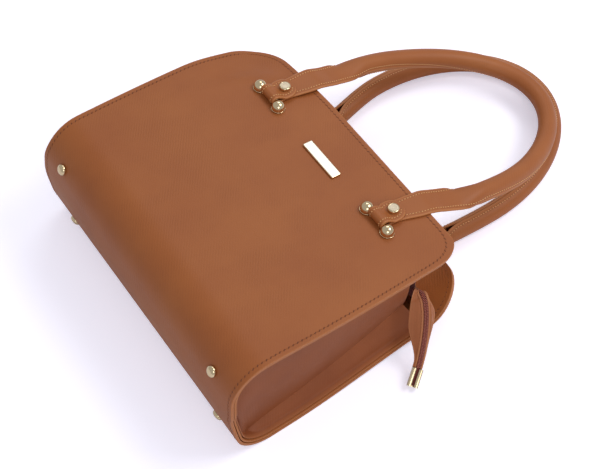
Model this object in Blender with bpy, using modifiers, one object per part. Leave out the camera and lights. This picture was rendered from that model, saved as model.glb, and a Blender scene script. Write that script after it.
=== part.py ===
"""Structured tote handbag with two rolled handles, lying on its back.

Lengths are in metres. X runs across the bag, Y from its base to its handles and Z up, out of its
front panel. The back panel rests on the floor at z = 0.
"""
import math

import bmesh
import bpy
from mathutils import Matrix, Vector

# Body
BODY_WIDTH = 0.314
BODY_HEIGHT = 0.2386
BASE_DEPTH = 0.123
MOUTH_FRONT_Z = 0.099
SIDE_BOW = 0.0028
CORNER_RADIUS = 0.043
BASE_REAR_Y = -0.003
BASE_MIDDLE_Y = -0.010
BASE_MIDDLE_OFFSET = 0.0045
BASE_FRONT_Y = -0.004
REAR_BEND_RADIUS = 0.036
MIDDLE_BEND_RADIUS = 0.120
FRONT_BEND_RADIUS = 0.036
BACK_FLAT_TO = 0.051
BEND_MARGIN = 0.008
END_BEND_SHARE = 0.70
MIDDLE_BEND_SHARE = 0.28

# Layers of the wall, outside to inside
LEATHER = 0.0016
BOARD = 0.0020
FACING = 0.0012
LINING = 0.0006
GAP = 0.0003
BOARD_MARGIN = 0.0008
LIP = 0.008
FACING_OVERLAP = 0.006

# Gussets
GUSSET_TOP_DROP = 0.052
GUSSET_FOLD_TOP = 0.018
GUSSET_FOLD_BOTTOM = 0.006
GUSSET_CREASE_LOW = 0.042
GUSSET_CREASE_DEPTH = 0.38

# Zip closure
ZIP_RECESS = 0.040
CLOSURE_HALF_LENGTH = 0.138
CLOSURE_FLANGE = 0.006
ZIP_SLOT = 0.009
TAPE_WIDTH = 0.014
TAPE = 0.0006
CHAIN_SPLIT = 0.0013
CHAIN_WIDTH = 0.0030
CHAIN_THICKNESS = 0.0015
TOOTH_PITCH = 0.0064
TOOTH_DEPTH = 0.0014

# Slider and pull
SLIDER_LENGTH = 0.011
SLIDER_WIDTH = 0.0092
SLIDER_PLATE = 0.0011
SLIDER_WEB = 0.0006
SLIDER_START = 0.124
PULL_LENGTH = 0.030
PULL_WIDTH = 0.0075
PULL_NECK = 0.0048
PULL_THICKNESS = 0.0014
PULL_PIN_RADIUS = 0.0008
PULL_PIN_HEIGHT = 0.0029

# Zip tail, from the closure's +X end down to the floor
TAIL_GAP = 0.0006
TAIL_BARE_TAPE = 0.0030
TAIL_ROOT_RUN = 0.024
TAIL_TIP = (0.185, 0.1685, 0.0128)
TAIL_TIP_RUN = (0.0132, -0.0137, -0.0110)
TAIL_FACING = (0.49, -0.36, 0.80)
TAIL_TURN_BY = 0.6
TAIL_HALF_ROOT = 0.0085
TAIL_HALF_WIDE = 0.0128
TAIL_WIDEST_AT = 0.40
TAIL_HALF_TIP = 0.0048
TAIL_FRONT_FOLD = (4.0, 25.0)
TAIL_BACK_FOLD = (30.0, 75.0)
TAIL_STEPS = 26
END_CAP_LENGTH = 0.017
END_CAP_WIDTH = 0.0098
END_CAP_THICKNESS = 0.0056
END_CAP_WALL = 0.0008
END_CAP_SLOT = 0.0016

# Handle hardware
ROD_Y = 0.194
ROD_X = 0.084
ROD_RADIUS = 0.0022
BALL_RADIUS = 0.0052
STUD_FLANGE_RADIUS = 0.0049
STUD_FLANGE = 0.0011
RIVET_RADIUS = 0.0053
RIVET_CAP = 0.0030
RIVET_ALONG = 0.0163

# Handles
STRAP = 0.0022
STRAP_WIDTH_AT_ROD = 0.0184
STRAP_WIDTH = 0.0272
STRAP_NARROW_TO = 0.0075
STRAP_FLAT = 0.046
TUBE_FROM = 0.090
TONGUE = 0.0262
TONGUE_WIDTH = 0.0215
TONGUE_LANDS = 0.0108
TUBE_RADIUS = 0.0090
TUBE_SEAM = 14.0
HANDLE_REACH = 0.268
FRONT_ARCH_HALF_WIDTH = 0.0905
FRONT_ARCH_HEIGHT = 0.147
FRONT_SWAY = 0.0034
FRONT_SAG = 0.007
BACK_ARCH_HALF_WIDTH = 0.093
BACK_ARCH_HEIGHT = 0.130
BACK_SWAY = -0.0042
BACK_SAG = 0.0
LEG_STIFFNESS = 5
HANDLE_REST_GAP = 0.0012
CORE_GAP = 0.0010

# Feet and plate
FOOT_SIDE_INSET = 0.0327
FOOT_REAR_INSET = 0.0197
FOOT_FRONT_INSET = 0.0226
FOOT_RADIUS = 0.0053
FOOT_HEIGHT = 0.0036
PLATE_LENGTH = 0.046
PLATE_WIDTH = 0.0102
PLATE_THICKNESS = 0.0018
PLATE_BEVEL = 0.0007
PLATE_X = 0.0015
PLATE_Y = 0.193

# Steps of the curves
CORNER_STEPS = 7
PANEL_STEPS = 5
BEND_STEPS = 6
TUBE_STEPS = 10
LEG_STEPS = 7
STRAP_STEPS = 5
STRIP_COLUMNS = 12

BASE_MIDDLE_Z = BASE_DEPTH / 2 + BASE_MIDDLE_OFFSET
BOARD_DEPTH = LEATHER + GAP
INNER_DEPTH = BOARD_DEPTH + BOARD + GAP
CLOSURE_DEPTH = INNER_DEPTH + FACING + GAP
SHOULDER_Y = BODY_HEIGHT - CORNER_RADIUS
CLOSURE_Y = BODY_HEIGHT - ZIP_RECESS
TAPE_Y = CLOSURE_Y - FACING - GAP
CHAIN_Y = TAPE_Y + GAP
GUSSET_TOP_Y = BODY_HEIGHT - GUSSET_TOP_DROP
FOLD_RADIUS = ROD_RADIUS + GAP + STRAP / 2
ROD_STANDOFF = FOLD_RADIUS + STRAP / 2 + GAP
BACK_LIFT = ROD_STANDOFF + BALL_RADIUS


def make_material(name, colour, roughness, metallic=0.0):
    material = bpy.data.materials.new(name)
    material.use_nodes = True
    shader = material.node_tree.nodes["Principled BSDF"]
    shader.inputs["Base Color"].default_value = (*colour, 1.0)
    shader.inputs["Roughness"].default_value = roughness
    shader.inputs["Metallic"].default_value = metallic
    material.diffuse_color = (*colour, 1.0)
    return material


def start_scene():
    """An empty scene with the bag's collection, its frame and its materials."""
    for old in list(bpy.data.objects):
        bpy.data.objects.remove(old, do_unlink=True)
    collection = bpy.data.collections.new("handbag")
    bpy.context.scene.collection.children.link(collection)
    frame = bpy.data.objects.new("bag_frame", None)
    collection.objects.link(frame)
    materials = {
        "leather": make_material("tan_leather", (0.33, 0.115, 0.048), 0.48),
        "inner_leather": make_material("inner_leather", (0.27, 0.092, 0.042), 0.55),
        "board": make_material("board", (0.42, 0.36, 0.28), 0.9),
        "lining": make_material("lining_cloth", (0.30, 0.22, 0.16), 0.85),
        "tape": make_material("zip_tape", (0.115, 0.028, 0.024), 0.8),
        "coil": make_material("zip_coil", (0.15, 0.035, 0.03), 0.4),
        "gold": make_material("pale_gold", (0.83, 0.71, 0.50), 0.18, 1.0),
        "cord": make_material("handle_cord", (0.62, 0.56, 0.46), 0.9),
    }
    return collection, frame, materials


class Bag:
    """Holds the collection, the frame that carries every piece, and the materials."""

    def __init__(self):
        self.collection, self.frame, self.materials = start_scene()

    def add(self, name, data, material, carrier=None, matrix=None):
        """Places a piece in the bag's frame. A carrier is the empty on whose axis it moves."""
        piece = bpy.data.objects.new(name, data)
        self.collection.objects.link(piece)
        piece.parent = carrier or self.frame
        if carrier:
            piece.matrix_parent_inverse = carrier.matrix_basis.inverted()
        if matrix:
            piece.matrix_basis = matrix
        if not data.materials:
            data.materials.append(self.materials[material])
        return piece

    def empty(self, name, matrix):
        """An empty in the bag's frame: an axis that something turns on or slides from."""
        axis = bpy.data.objects.new(name, None)
        axis.empty_display_size = 0.01
        self.collection.objects.link(axis)
        axis.parent = self.frame
        axis.matrix_basis = matrix
        return axis


def grid_mesh(name, rows):
    """A sheet skinned through rows of points. Points that coincide are joined."""
    body = bmesh.new()
    lines = [[body.verts.new(point) for point in row] for row in rows]
    for below, above in zip(lines, lines[1:]):
        for i in range(len(below) - 1):
            body.faces.new((below[i], below[i + 1], above[i + 1], above[i]))
    bmesh.ops.remove_doubles(body, verts=body.verts, dist=0.00002)
    mesh = bpy.data.meshes.new(name)
    body.to_mesh(mesh)
    body.free()
    return mesh


def thicken(piece, thickness, offset=-1.0):
    """Gives a sheet its thickness: offset -1 grows it away from its normals, 0 both ways."""
    solid = piece.modifiers.new("thickness", "SOLIDIFY")
    solid.thickness = thickness
    solid.offset = offset
    solid.use_even_offset = True
    return solid


def profile_mesh(name, profile):
    """Half the outline of a turned piece, as (radius, height) from its top down, along X and Z."""
    mesh = bpy.data.meshes.new(name)
    edges = [(i, i + 1) for i in range(len(profile) - 1)]
    mesh.from_pydata([(radius, 0.0, height) for radius, height in profile], edges, [])
    return mesh


def turn(piece, steps):
    """Turns a piece's profile about its Z axis into a solid."""
    screw = piece.modifiers.new("turned", "SCREW")
    screw.steps = steps
    screw.render_steps = steps
    screw.use_merge_vertices = True
    screw.merge_threshold = 0.00002
    screw.use_smooth_shade = True


def box_mesh(name, size, centre):
    body = bmesh.new()
    bmesh.ops.create_cube(body, size=1.0)
    bmesh.ops.scale(body, vec=size, verts=body.verts)
    bmesh.ops.translate(body, vec=centre, verts=body.verts)
    mesh = bpy.data.meshes.new(name)
    body.to_mesh(mesh)
    body.free()
    return mesh


def arc(centre, radius, start, end, steps):
    """Points along an arc in the YZ plane, angles in radians from +Y towards +Z."""
    angles = [start + (end - start) * i / steps for i in range(steps + 1)]
    return [centre + radius * Vector((math.cos(a), math.sin(a))) for a in angles]


def fillet(before, corner, after, radius, steps, share):
    """The arc that rounds the corner of an outline, as points from one tangent to the other.

    It takes no more than a share of the shorter of its two sides.
    """
    shorter = min((before - corner).length, (after - corner).length)
    to_before = (before - corner).normalized()
    to_after = (after - corner).normalized()
    half = to_before.angle(to_after) / 2
    reach = min(radius / math.tan(half), shorter * share)
    radius = reach * math.tan(half)
    centre = corner + (to_before + to_after).normalized() * radius / math.sin(half)
    first = corner + to_before * reach - centre
    last = corner + to_after * reach - centre
    start = math.atan2(first.y, first.x)
    sweep = (math.atan2(last.y, last.x) - start + math.pi) % math.tau - math.pi
    return arc(centre, radius, start, start + sweep, steps)


def blend(t):
    """Smooth step from 0 to 1."""
    t = min(max(t, 0.0), 1.0)
    return t * t * (3 - 2 * t)


def front_z(y):
    """Height of the front panel's outer face above the floor."""
    return BASE_DEPTH + (MOUTH_FRONT_Z - BASE_DEPTH) * y / BODY_HEIGHT


def back_z(y):
    """The back panel lies flat near the base and lifts towards the handle hardware under it."""
    rise = max(y - BACK_FLAT_TO, 0.0)
    return BACK_LIFT * (rise / (ROD_Y - BACK_FLAT_TO)) ** 2


def side_half_width(y):
    """Half the body's width at height y: slightly bowed sides, then the round top corners."""
    bowed = min(max(y, 0.0), SHOULDER_Y)
    half = BODY_WIDTH / 2 + SIDE_BOW * math.sin(math.pi * bowed / BODY_HEIGHT)
    if y <= SHOULDER_Y:
        return half
    rise = min(y - SHOULDER_Y, CORNER_RADIUS)
    return half - CORNER_RADIUS + math.sqrt(CORNER_RADIUS**2 - rise**2)


def panel_heights(start, top):
    """Heights of the rows of a panel from start to its top, close together in the corners."""
    straight_to = min(top, SHOULDER_Y)
    rise = max(straight_to - start, 0.0)
    heights = [start + rise * i / PANEL_STEPS for i in range(PANEL_STEPS)] if rise else [start]
    for i in range(CORNER_STEPS + 1):
        y = SHOULDER_Y + CORNER_RADIUS * math.sin(math.pi / 2 * i / CORNER_STEPS)
        if start + GAP < y < top - GAP:
            heights.append(y)
    return heights + [top]


def base_outline():
    """The rounded base, from the back panel round to the front panel, as (y, z)."""
    rear = Vector((BASE_REAR_Y, 0.0))
    middle = Vector((BASE_MIDDLE_Y, BASE_MIDDLE_Z))
    front = Vector((BASE_FRONT_Y, front_z(BASE_FRONT_Y)))
    back_top = Vector((BACK_FLAT_TO, 0.0))
    front_top = Vector((BODY_HEIGHT, front_z(BODY_HEIGHT)))
    return (
        fillet(back_top, rear, middle, REAR_BEND_RADIUS, BEND_STEPS, END_BEND_SHARE)
        + fillet(rear, middle, front, MIDDLE_BEND_RADIUS, BEND_STEPS // 2, MIDDLE_BEND_SHARE)
        + fillet(middle, front, front_top, FRONT_BEND_RADIUS, BEND_STEPS, END_BEND_SHARE)
    )


def panel_start():
    """Height just above the base's bends, from which both panels are flat."""
    base = base_outline()
    return max(base[0].x, base[-1].x) + BEND_MARGIN


def panel_outline(panel_z, start, top):
    """One panel between two heights, base side first, as (y, z)."""
    return [Vector((y, panel_z(y))) for y in panel_heights(start, top)]


def wall_outline(top):
    """The U of the body: down the back from height top, round the base and up the front."""
    back = panel_outline(back_z, panel_start(), top)
    front = panel_outline(front_z, panel_start(), top)
    return list(reversed(back)) + base_outline() + front


def inset(outline, depth):
    """The outline moved towards the inside of the U by depth, with mitred corners."""
    moved = []
    for i, point in enumerate(outline):
        before = outline[max(i - 1, 0)]
        after = outline[min(i + 1, len(outline) - 1)]
        normals = []
        for start, end in ((before, point), (point, after)):
            run = end - start
            if run.length > 0:
                normals.append(Vector((run.y, -run.x)).normalized())
        middle = (normals[0] + normals[-1]).normalized()
        moved.append(point + middle * depth / middle.dot(normals[0]))
    return moved


def sheet_rows(outline, depth, margin):
    """Rows of a sheet that spans the body's width at a depth inside the outline."""
    rows = []
    for outer, inner in zip(outline, inset(outline, depth)):
        half = side_half_width(outer.x) - margin
        rows.append([(-half, inner.x, inner.y), (half, inner.x, inner.y)])
    return rows


def add_wall_sheet(bag, name, outline, depth, thickness, margin, material):
    piece = bag.add(name, grid_mesh(name, sheet_rows(outline, depth, margin)), material)
    thicken(piece, thickness)
    return piece


def build_walls(bag):
    """The leather wrap, the boards that stiffen it, the leather facings and the lining."""
    wrap = wall_outline(BODY_HEIGHT)
    lining = wall_outline(GUSSET_TOP_Y)
    add_wall_sheet(bag, "outer_wrap", wrap, 0.0, LEATHER, 0.0, "leather")
    add_wall_sheet(bag, "base_board", base_outline(), BOARD_DEPTH, BOARD, BOARD_MARGIN, "board")
    add_wall_sheet(bag, "lining", lining, INNER_DEPTH, LINING, LIP + FACING + GAP, "lining")
    for name, panel_z in (("front", front_z), ("back", back_z)):
        board = panel_outline(panel_z, panel_start(), BODY_HEIGHT - BOARD_MARGIN)
        facing = panel_outline(panel_z, GUSSET_TOP_Y + GAP, BODY_HEIGHT)
        if name == "back":
            board.reverse()
            facing.reverse()
        add_wall_sheet(bag, name + "_board", board, BOARD_DEPTH, BOARD, BOARD_MARGIN, "board")
        add_wall_sheet(bag, name + "_facing", facing, INNER_DEPTH, FACING, 0.0, "inner_leather")


def crease_point(y, half_width):
    """The gusset's inward fold at height y, nearer the back panel than the front."""
    height = max(y, GUSSET_CREASE_LOW)
    share = (height - GUSSET_CREASE_LOW) / (GUSSET_TOP_Y - GUSSET_CREASE_LOW)
    fold = GUSSET_FOLD_BOTTOM + (GUSSET_FOLD_TOP - GUSSET_FOLD_BOTTOM) * share
    z = back_z(height) + (front_z(height) - back_z(height)) * GUSSET_CREASE_DEPTH
    return Vector((half_width - fold, height, z))


def gusset_rows(depth, inner):
    """Rows round the U, each from the flange's edge along the wall to the fold's crease.

    depth is the layer of the wall that the sheet lies in, and inner how far it stands inside.
    """
    outline = wall_outline(GUSSET_TOP_Y)
    rows = []
    for outer, wall in zip(outline, inset(outline, depth)):
        edge = side_half_width(outer.x)
        root = edge - LIP - inner
        creased = side_half_width(max(outer.x, GUSSET_CREASE_LOW)) - LIP - inner
        crease = crease_point(outer.x, creased)
        rows.append([(edge, wall.x, wall.y), (root, wall.x, wall.y), tuple(crease)])
    return rows


def build_gussets(bag):
    """The folded leather sides, sewn inside the lips of the wrap, and their lining."""
    for side, sign in (("right", 1.0), ("left", -1.0)):
        rows = gusset_rows(INNER_DEPTH, 0.0)
        lining_rows = gusset_rows(INNER_DEPTH + LINING + GAP, LINING + 3 * GAP)
        pieces = (
            ("gusset_" + side, rows, FACING, "inner_leather"),
            ("lining_" + side, [row[1:] for row in lining_rows], LINING, "lining"),
        )
        for name, points, thickness, material in pieces:
            placed = [[(sign * x, y, z) for x, y, z in row] for row in points]
            piece = bag.add(name, grid_mesh(name, placed), material)
            thicken(piece, thickness, sign)


def mouth_middle_z(y):
    """Height half way between the two panels, where the zip runs."""
    return (front_z(y) + back_z(y)) / 2


def closure_rows(panel_z, toward):
    """A closure strip: a flange down the facing, then flat towards the zip."""
    middle = mouth_middle_z(CLOSURE_Y)
    low = CLOSURE_Y - CLOSURE_FLANGE
    profile = [
        (low, panel_z(low) + toward * CLOSURE_DEPTH),
        (CLOSURE_Y, panel_z(CLOSURE_Y) + toward * CLOSURE_DEPTH),
        (CLOSURE_Y, middle - toward * ZIP_SLOT / 2),
    ]
    ends = (-toward * CLOSURE_HALF_LENGTH, toward * CLOSURE_HALF_LENGTH)
    return [[(x, y, z) for x in ends] for y, z in profile]


def chain_rows(stations):
    """One half of the chain: rows of a strip whose inner edge is toothed.

    Each station is a point on the split between the halves and the direction away from it.
    """
    inner = CHAIN_SPLIT / 2
    rows = []
    for i, (point, away) in enumerate(stations):
        edge = inner + (TOOTH_DEPTH if i % 2 else 0.0)
        rows.append([point + away * (inner + CHAIN_WIDTH), point + away * edge])
    return rows


def build_closure(bag):
    """The recessed zip top: two leather strips, two tapes and the two halves of the chain."""
    middle = mouth_middle_z(CLOSURE_Y)
    chain_from = -SLIDER_START - SLIDER_LENGTH / 2
    steps = int((CLOSURE_HALF_LENGTH - chain_from) / (TOOTH_PITCH / 2))
    for name, panel_z, toward in (("front", front_z, -1.0), ("back", back_z, 1.0)):
        rows = closure_rows(panel_z, toward)
        strip = bag.add(name + "_closure_strip", grid_mesh(name, rows), "leather")
        thicken(strip, FACING, 1.0)
        away = Vector((0, 0, -toward))
        centre = Vector((0, TAPE_Y - TAPE / 2, middle)) + away * (CHAIN_SPLIT + TAPE_WIDTH) / 2
        size = (2 * CLOSURE_HALF_LENGTH, TAPE, TAPE_WIDTH)
        bag.add(name + "_zip_tape", box_mesh(name, size, centre), "tape")
        stations = []
        for i in range(steps + 1):
            point = Vector((chain_from + i * TOOTH_PITCH / 2, CHAIN_Y + CHAIN_THICKNESS, middle))
            stations.append((point, away))
        chain = bag.add(name + "_zip_chain", grid_mesh(name, chain_rows(stations)), "coil")
        thicken(chain, CHAIN_THICKNESS, -toward)


def slider_outline():
    """The slider's section: two plates joined by a web, with ears on top for the pull's pin."""
    top = CHAIN_Y + CHAIN_THICKNESS + 2 * GAP
    bottom = TAPE_Y - TAPE - 2 * GAP
    ear = top + SLIDER_PLATE + PULL_PIN_HEIGHT + PULL_PIN_RADIUS
    ear_inner = PULL_NECK / 2 + GAP
    ear_outer = ear_inner + SLIDER_PLATE
    half = [
        (bottom - SLIDER_PLATE, SLIDER_WIDTH / 2),
        (bottom, SLIDER_WIDTH / 2),
        (bottom, SLIDER_WEB / 2),
        (top, SLIDER_WEB / 2),
        (top, SLIDER_WIDTH / 2),
        (top + SLIDER_PLATE, SLIDER_WIDTH / 2),
        (top + SLIDER_PLATE, ear_outer),
        (ear, ear_outer),
        (ear, ear_inner),
        (top + SLIDER_PLATE, ear_inner),
    ]
    return half + [(y, -z) for y, z in reversed(half)]


def extruded_mesh(name, outline, length):
    """A solid with a (y, z) section, centred on X."""
    body = bmesh.new()
    face = body.faces.new([body.verts.new((-length / 2, y, z)) for y, z in outline])
    swept = bmesh.ops.extrude_face_region(body, geom=[face])
    ends = [item for item in swept["geom"] if isinstance(item, bmesh.types.BMVert)]
    bmesh.ops.translate(body, vec=(length, 0, 0), verts=ends)
    bmesh.ops.recalc_face_normals(body, faces=body.faces)
    mesh = bpy.data.meshes.new(name)
    body.to_mesh(mesh)
    body.free()
    return mesh


def build_slider(bag):
    """The slider on the chain, with its pull curled round a pin and lying over the closed zip."""
    middle = mouth_middle_z(CLOSURE_Y)
    place = Matrix.Translation((-SLIDER_START, 0, middle))
    slider_axis = bag.empty("slider_axis", Matrix.Translation((-SLIDER_START, CHAIN_Y, middle)))
    mesh = extruded_mesh("zip_slider", slider_outline(), SLIDER_LENGTH)
    bag.add("zip_slider", mesh, "gold", slider_axis, place)
    pin_y = CHAIN_Y + CHAIN_THICKNESS + 2 * GAP + SLIDER_PLATE + PULL_PIN_HEIGHT
    profile = [(0, PULL_NECK / 2), (PULL_PIN_RADIUS, PULL_NECK / 2)]
    profile += [(radius, -height) for radius, height in reversed(profile)]
    place = Matrix.Translation((-SLIDER_START, pin_y, middle))
    pull_axis = bag.empty("pull_axis", place)
    pin = bag.add("pull_pin", profile_mesh("pull_pin", profile), "gold", slider_axis, place)
    turn(pin, 8)
    curl = PULL_PIN_RADIUS + GAP + PULL_THICKNESS / 2
    neck_to = SLIDER_LENGTH / 2 + 2 * GAP
    rows = []
    for point in arc(Vector((0, 0)), curl, math.radians(40), math.radians(270), 8):
        rows.append((point.x, point.y, PULL_NECK - GAP))
    for x, width in ((neck_to, PULL_NECK - GAP), (neck_to + PULL_WIDTH, PULL_WIDTH)):
        rows.append((x, -curl, width))
    rows.append((PULL_LENGTH - PULL_WIDTH / 3, -curl, PULL_WIDTH))
    rows.append((PULL_LENGTH, -curl, PULL_WIDTH / 2))
    rows = [[(x, y, -width / 2), (x, y, width / 2)] for x, y, width in rows]
    pull = bag.add("zip_pull", grid_mesh("zip_pull", rows), "gold", pull_axis, place)
    thicken(pull, PULL_THICKNESS, 0.0)


def tail_stations():
    """Points along the zip tail with their direction, outward normal and front side."""
    root = Vector((CLOSURE_HALF_LENGTH + TAIL_GAP, TAPE_Y, mouth_middle_z(CLOSURE_Y)))
    tip = Vector(TAIL_TIP)
    tip_run = Vector(TAIL_TIP_RUN)
    handles = (root, root + Vector((TAIL_ROOT_RUN, 0, 0)), tip - tip_run, tip)
    stations = []
    for i in range(TAIL_STEPS + 1):
        t = i / TAIL_STEPS
        weights = ((1 - t) ** 3, 3 * t * (1 - t) ** 2, 3 * t * t * (1 - t), t**3)
        point = sum((w * p for w, p in zip(weights, handles)), Vector((0, 0, 0)))
        slopes = (
            3 * (1 - t) ** 2 * (handles[1] - handles[0])
            + 6 * t * (1 - t) * (handles[2] - handles[1])
            + 3 * t * t * (handles[3] - handles[2])
        )
        run = slopes.normalized()
        turn = blend(t / TAIL_TURN_BY)
        facing = Vector((0, 1, 0)).lerp(Vector(TAIL_FACING), turn)
        normal = (facing - run * facing.dot(run)).normalized()
        stations.append((t, point, run, normal, run.cross(normal)))
    return stations


def tail_half_width(t):
    """Half the leather's width along the tail: widest before its middle, narrow at the cap."""
    if t < TAIL_WIDEST_AT:
        return TAIL_HALF_ROOT + (TAIL_HALF_WIDE - TAIL_HALF_ROOT) * blend(t / TAIL_WIDEST_AT)
    share = (t - TAIL_WIDEST_AT) / (1 - TAIL_WIDEST_AT)
    return TAIL_HALF_WIDE + (TAIL_HALF_TIP - TAIL_HALF_WIDE) * blend(share)


def build_tail(bag):
    """The end of the zip that hangs out of the bag: two folded leaves, tape, chain and end cap."""
    stations = tail_stations()
    axis = bag.empty("tail_axis", Matrix.Translation(stations[0][1]))
    bare = [s for s in stations if (s[1] - stations[0][1]).length > TAIL_BARE_TAPE]
    tape_half = CHAIN_SPLIT / 2 + CHAIN_WIDTH
    slot = tape_half + GAP + FACING / 2
    for name, sign, folds in (("front", 1.0, TAIL_FRONT_FOLD), ("back", -1.0, TAIL_BACK_FOLD)):
        rows = []
        for t, point, run, normal, front in bare[:-1]:
            angle = math.radians(folds[0] + (folds[1] - folds[0]) * t)
            away = front * sign * math.cos(angle) - normal * math.sin(angle)
            root = point + front * sign * slot
            rows.append([root, root + away * max(tail_half_width(t) - slot, FACING)])
        leaf = bag.add("tail_leaf_" + name, grid_mesh(name, rows), "leather", axis)
        thicken(leaf, FACING, 0.0)
        chain_stations = []
        for t, point, run, normal, front in bare[:-1]:
            chain_stations.append((point + normal * (GAP + CHAIN_THICKNESS / 2), front * sign))
        rows = chain_rows(chain_stations)
        chain = bag.add("tail_chain_" + name, grid_mesh(name, rows), "coil", axis)
        thicken(chain, CHAIN_THICKNESS, 0.0)
    rows = []
    for t, point, run, normal, front in stations:
        centre = point - normal * TAPE / 2
        rows.append([centre - front * tape_half, centre + front * tape_half])
    t, point, run, normal, front = stations[-1]
    depth = END_CAP_LENGTH - 4 * GAP
    rows.append([p + run * depth for p in rows[-1]])
    tape = bag.add("tail_tape", grid_mesh("tail_tape", rows), "tape", axis)
    thicken(tape, TAPE, 0.0)
    half_w = END_CAP_WIDTH / 2
    half_t = END_CAP_THICKNESS / 2
    wall = END_CAP_WALL
    outline = [
        (half_t, END_CAP_SLOT / 2),
        (half_t, half_w),
        (-half_t, half_w),
        (-half_t, -half_w),
        (half_t, -half_w),
        (half_t, -END_CAP_SLOT / 2),
        (half_t - wall, -END_CAP_SLOT / 2),
        (half_t - wall, wall - half_w),
        (wall - half_t, wall - half_w),
        (wall - half_t, half_w - wall),
        (half_t - wall, half_w - wall),
        (half_t - wall, END_CAP_SLOT / 2),
    ]
    mesh = extruded_mesh("tail_end_cap", outline, END_CAP_LENGTH)
    middle = point + run * END_CAP_LENGTH / 2 - normal * TAPE / 2
    place = Matrix((run, normal, front)).transposed().to_4x4()
    bag.add("tail_end_cap", mesh, "gold", axis, Matrix.Translation(middle) @ place)


def panel_frame(panel_z, y, sign):
    """A frame on a panel's outer face at height y: X across, Z outwards."""
    step = 0.0001
    slope = math.atan2(panel_z(y + step) - panel_z(y - step), 2 * step)
    turn = slope if sign > 0 else slope + math.pi
    return Matrix.Translation((0, y, panel_z(y))) @ Matrix.Rotation(turn, 4, "X")


def rod_axis(panel_z, sign):
    """The axis of the handle rods of one panel, as a point on the bag's middle."""
    return panel_frame(panel_z, ROD_Y, sign) @ Vector((0, 0, ROD_STANDOFF))


def ball_stud_profile():
    """A round flange on the panel with a ball on it, as (radius, height) from the top down."""
    top = ROD_STANDOFF + BALL_RADIUS
    flange = GAP + STUD_FLANGE
    meet = math.asin((ROD_STANDOFF - flange) / BALL_RADIUS)
    profile = []
    for i in range(9):
        a = math.pi / 2 - (math.pi / 2 + meet) * i / 8
        profile.append((BALL_RADIUS * math.cos(a), ROD_STANDOFF + BALL_RADIUS * math.sin(a)))
    profile[0] = (0.0, top)
    profile.append((STUD_FLANGE_RADIUS, flange))
    profile.append((STUD_FLANGE_RADIUS, GAP))
    profile.append((0.0, GAP))
    return profile


def cap_profile(radius, height, dome):
    """A low round cap standing on z = 0, its rim rounded off by dome."""
    return [(0, height), (radius - dome, height), (radius, height - dome), (radius, 0), (0, 0)]


def build_hardware(bag):
    """Four bridges that carry the handles: a rod between two ball studs."""
    stud_x = STRAP_WIDTH_AT_ROD / 2 + GAP + BALL_RADIUS
    rod_half = stud_x - BALL_RADIUS - GAP
    rod = [(0, rod_half), (ROD_RADIUS, rod_half), (ROD_RADIUS, -rod_half), (0, -rod_half)]
    rod_mesh = profile_mesh("rod", rod)
    stud_mesh = profile_mesh("ball_stud", ball_stud_profile())
    sideways = Matrix.Rotation(math.pi / 2, 4, "Y")
    for name, panel_z, sign in (("front", front_z, 1.0), ("back", back_z, -1.0)):
        on_panel = panel_frame(panel_z, ROD_Y, sign)
        axis = Matrix.Translation(rod_axis(panel_z, sign))
        for side, x in (("left", -ROD_X), ("right", ROD_X)):
            label = name + "_" + side
            place = Matrix.Translation((x, 0, 0))
            piece = bag.add(label + "_rod", rod_mesh, "gold", matrix=place @ axis @ sideways)
            turn(piece, 12)
            reach = math.copysign(stud_x, x)
            for end, offset in (("outer", reach), ("inner", -reach)):
                place = Matrix.Translation((x + offset, 0, 0)) @ on_panel
                piece = bag.add(label + "_stud_" + end, stud_mesh, "gold", matrix=place)
                turn(piece, 12)


def strip_width(distance):
    """Width of the leather along a handle and the angle it is curled through.

    distance is counted from the rod. The strap widens, then curls while its sides draw in, until
    it is the tube with its edges meeting at the seam.
    """
    spread = blend((distance - STRAP_NARROW_TO) / (STRAP_FLAT - STRAP_NARROW_TO))
    flat = STRAP_WIDTH_AT_ROD + (STRAP_WIDTH - STRAP_WIDTH_AT_ROD) * spread
    share = blend((distance - STRAP_FLAT) / (TUBE_FROM - STRAP_FLAT))
    across = flat + (2 * TUBE_RADIUS - STRAP - flat) * share
    curl = max(math.radians(360 - TUBE_SEAM) * share, 0.01)
    radius = across / 2 if curl > math.pi else across / 2 / math.sin(curl / 2)
    return radius * curl, curl


def strip_row(point, across, normal, width, curl):
    """A row of the leather strip: flat, or curled away from its normal through an angle."""
    radius = width / curl
    balance = math.sin(curl / 2) / (curl / 2)
    row = []
    for i in range(STRIP_COLUMNS + 1):
        a = curl * (i / STRIP_COLUMNS - 0.5)
        side = across * radius * math.sin(a)
        row.append(point + side + normal * radius * (math.cos(a) - balance))
    return row


def tongue_points():
    """The strap's end, from its rounded tip back over the rod, as (along, height, width)."""
    flat_height = STRAP + GAP - FOLD_RADIUS
    round_radius = TONGUE_WIDTH / 2
    points = []
    for i in range(5):
        a = math.radians(78) * (1 - i / 4)
        along = TONGUE - round_radius * (1 - math.sin(a))
        points.append((along, flat_height, TONGUE_WIDTH * math.cos(a)))
    for i in range(1, 6):
        along = (TONGUE - round_radius) * (1 - i / 5)
        share = blend(along / TONGUE_LANDS)
        height = FOLD_RADIUS + (flat_height - FOLD_RADIUS) * share
        spread = blend((along - STRAP_NARROW_TO) / (TONGUE_LANDS - STRAP_NARROW_TO))
        width = STRAP_WIDTH_AT_ROD + (TONGUE_WIDTH - STRAP_WIDTH_AT_ROD) * spread
        points.append((along, height, width))
    for i in range(1, 6):
        a = math.pi / 2 + math.pi * i / 6
        points.append((FOLD_RADIUS * math.cos(a), FOLD_RADIUS * math.sin(a), STRAP_WIDTH_AT_ROD))
    return points


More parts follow.
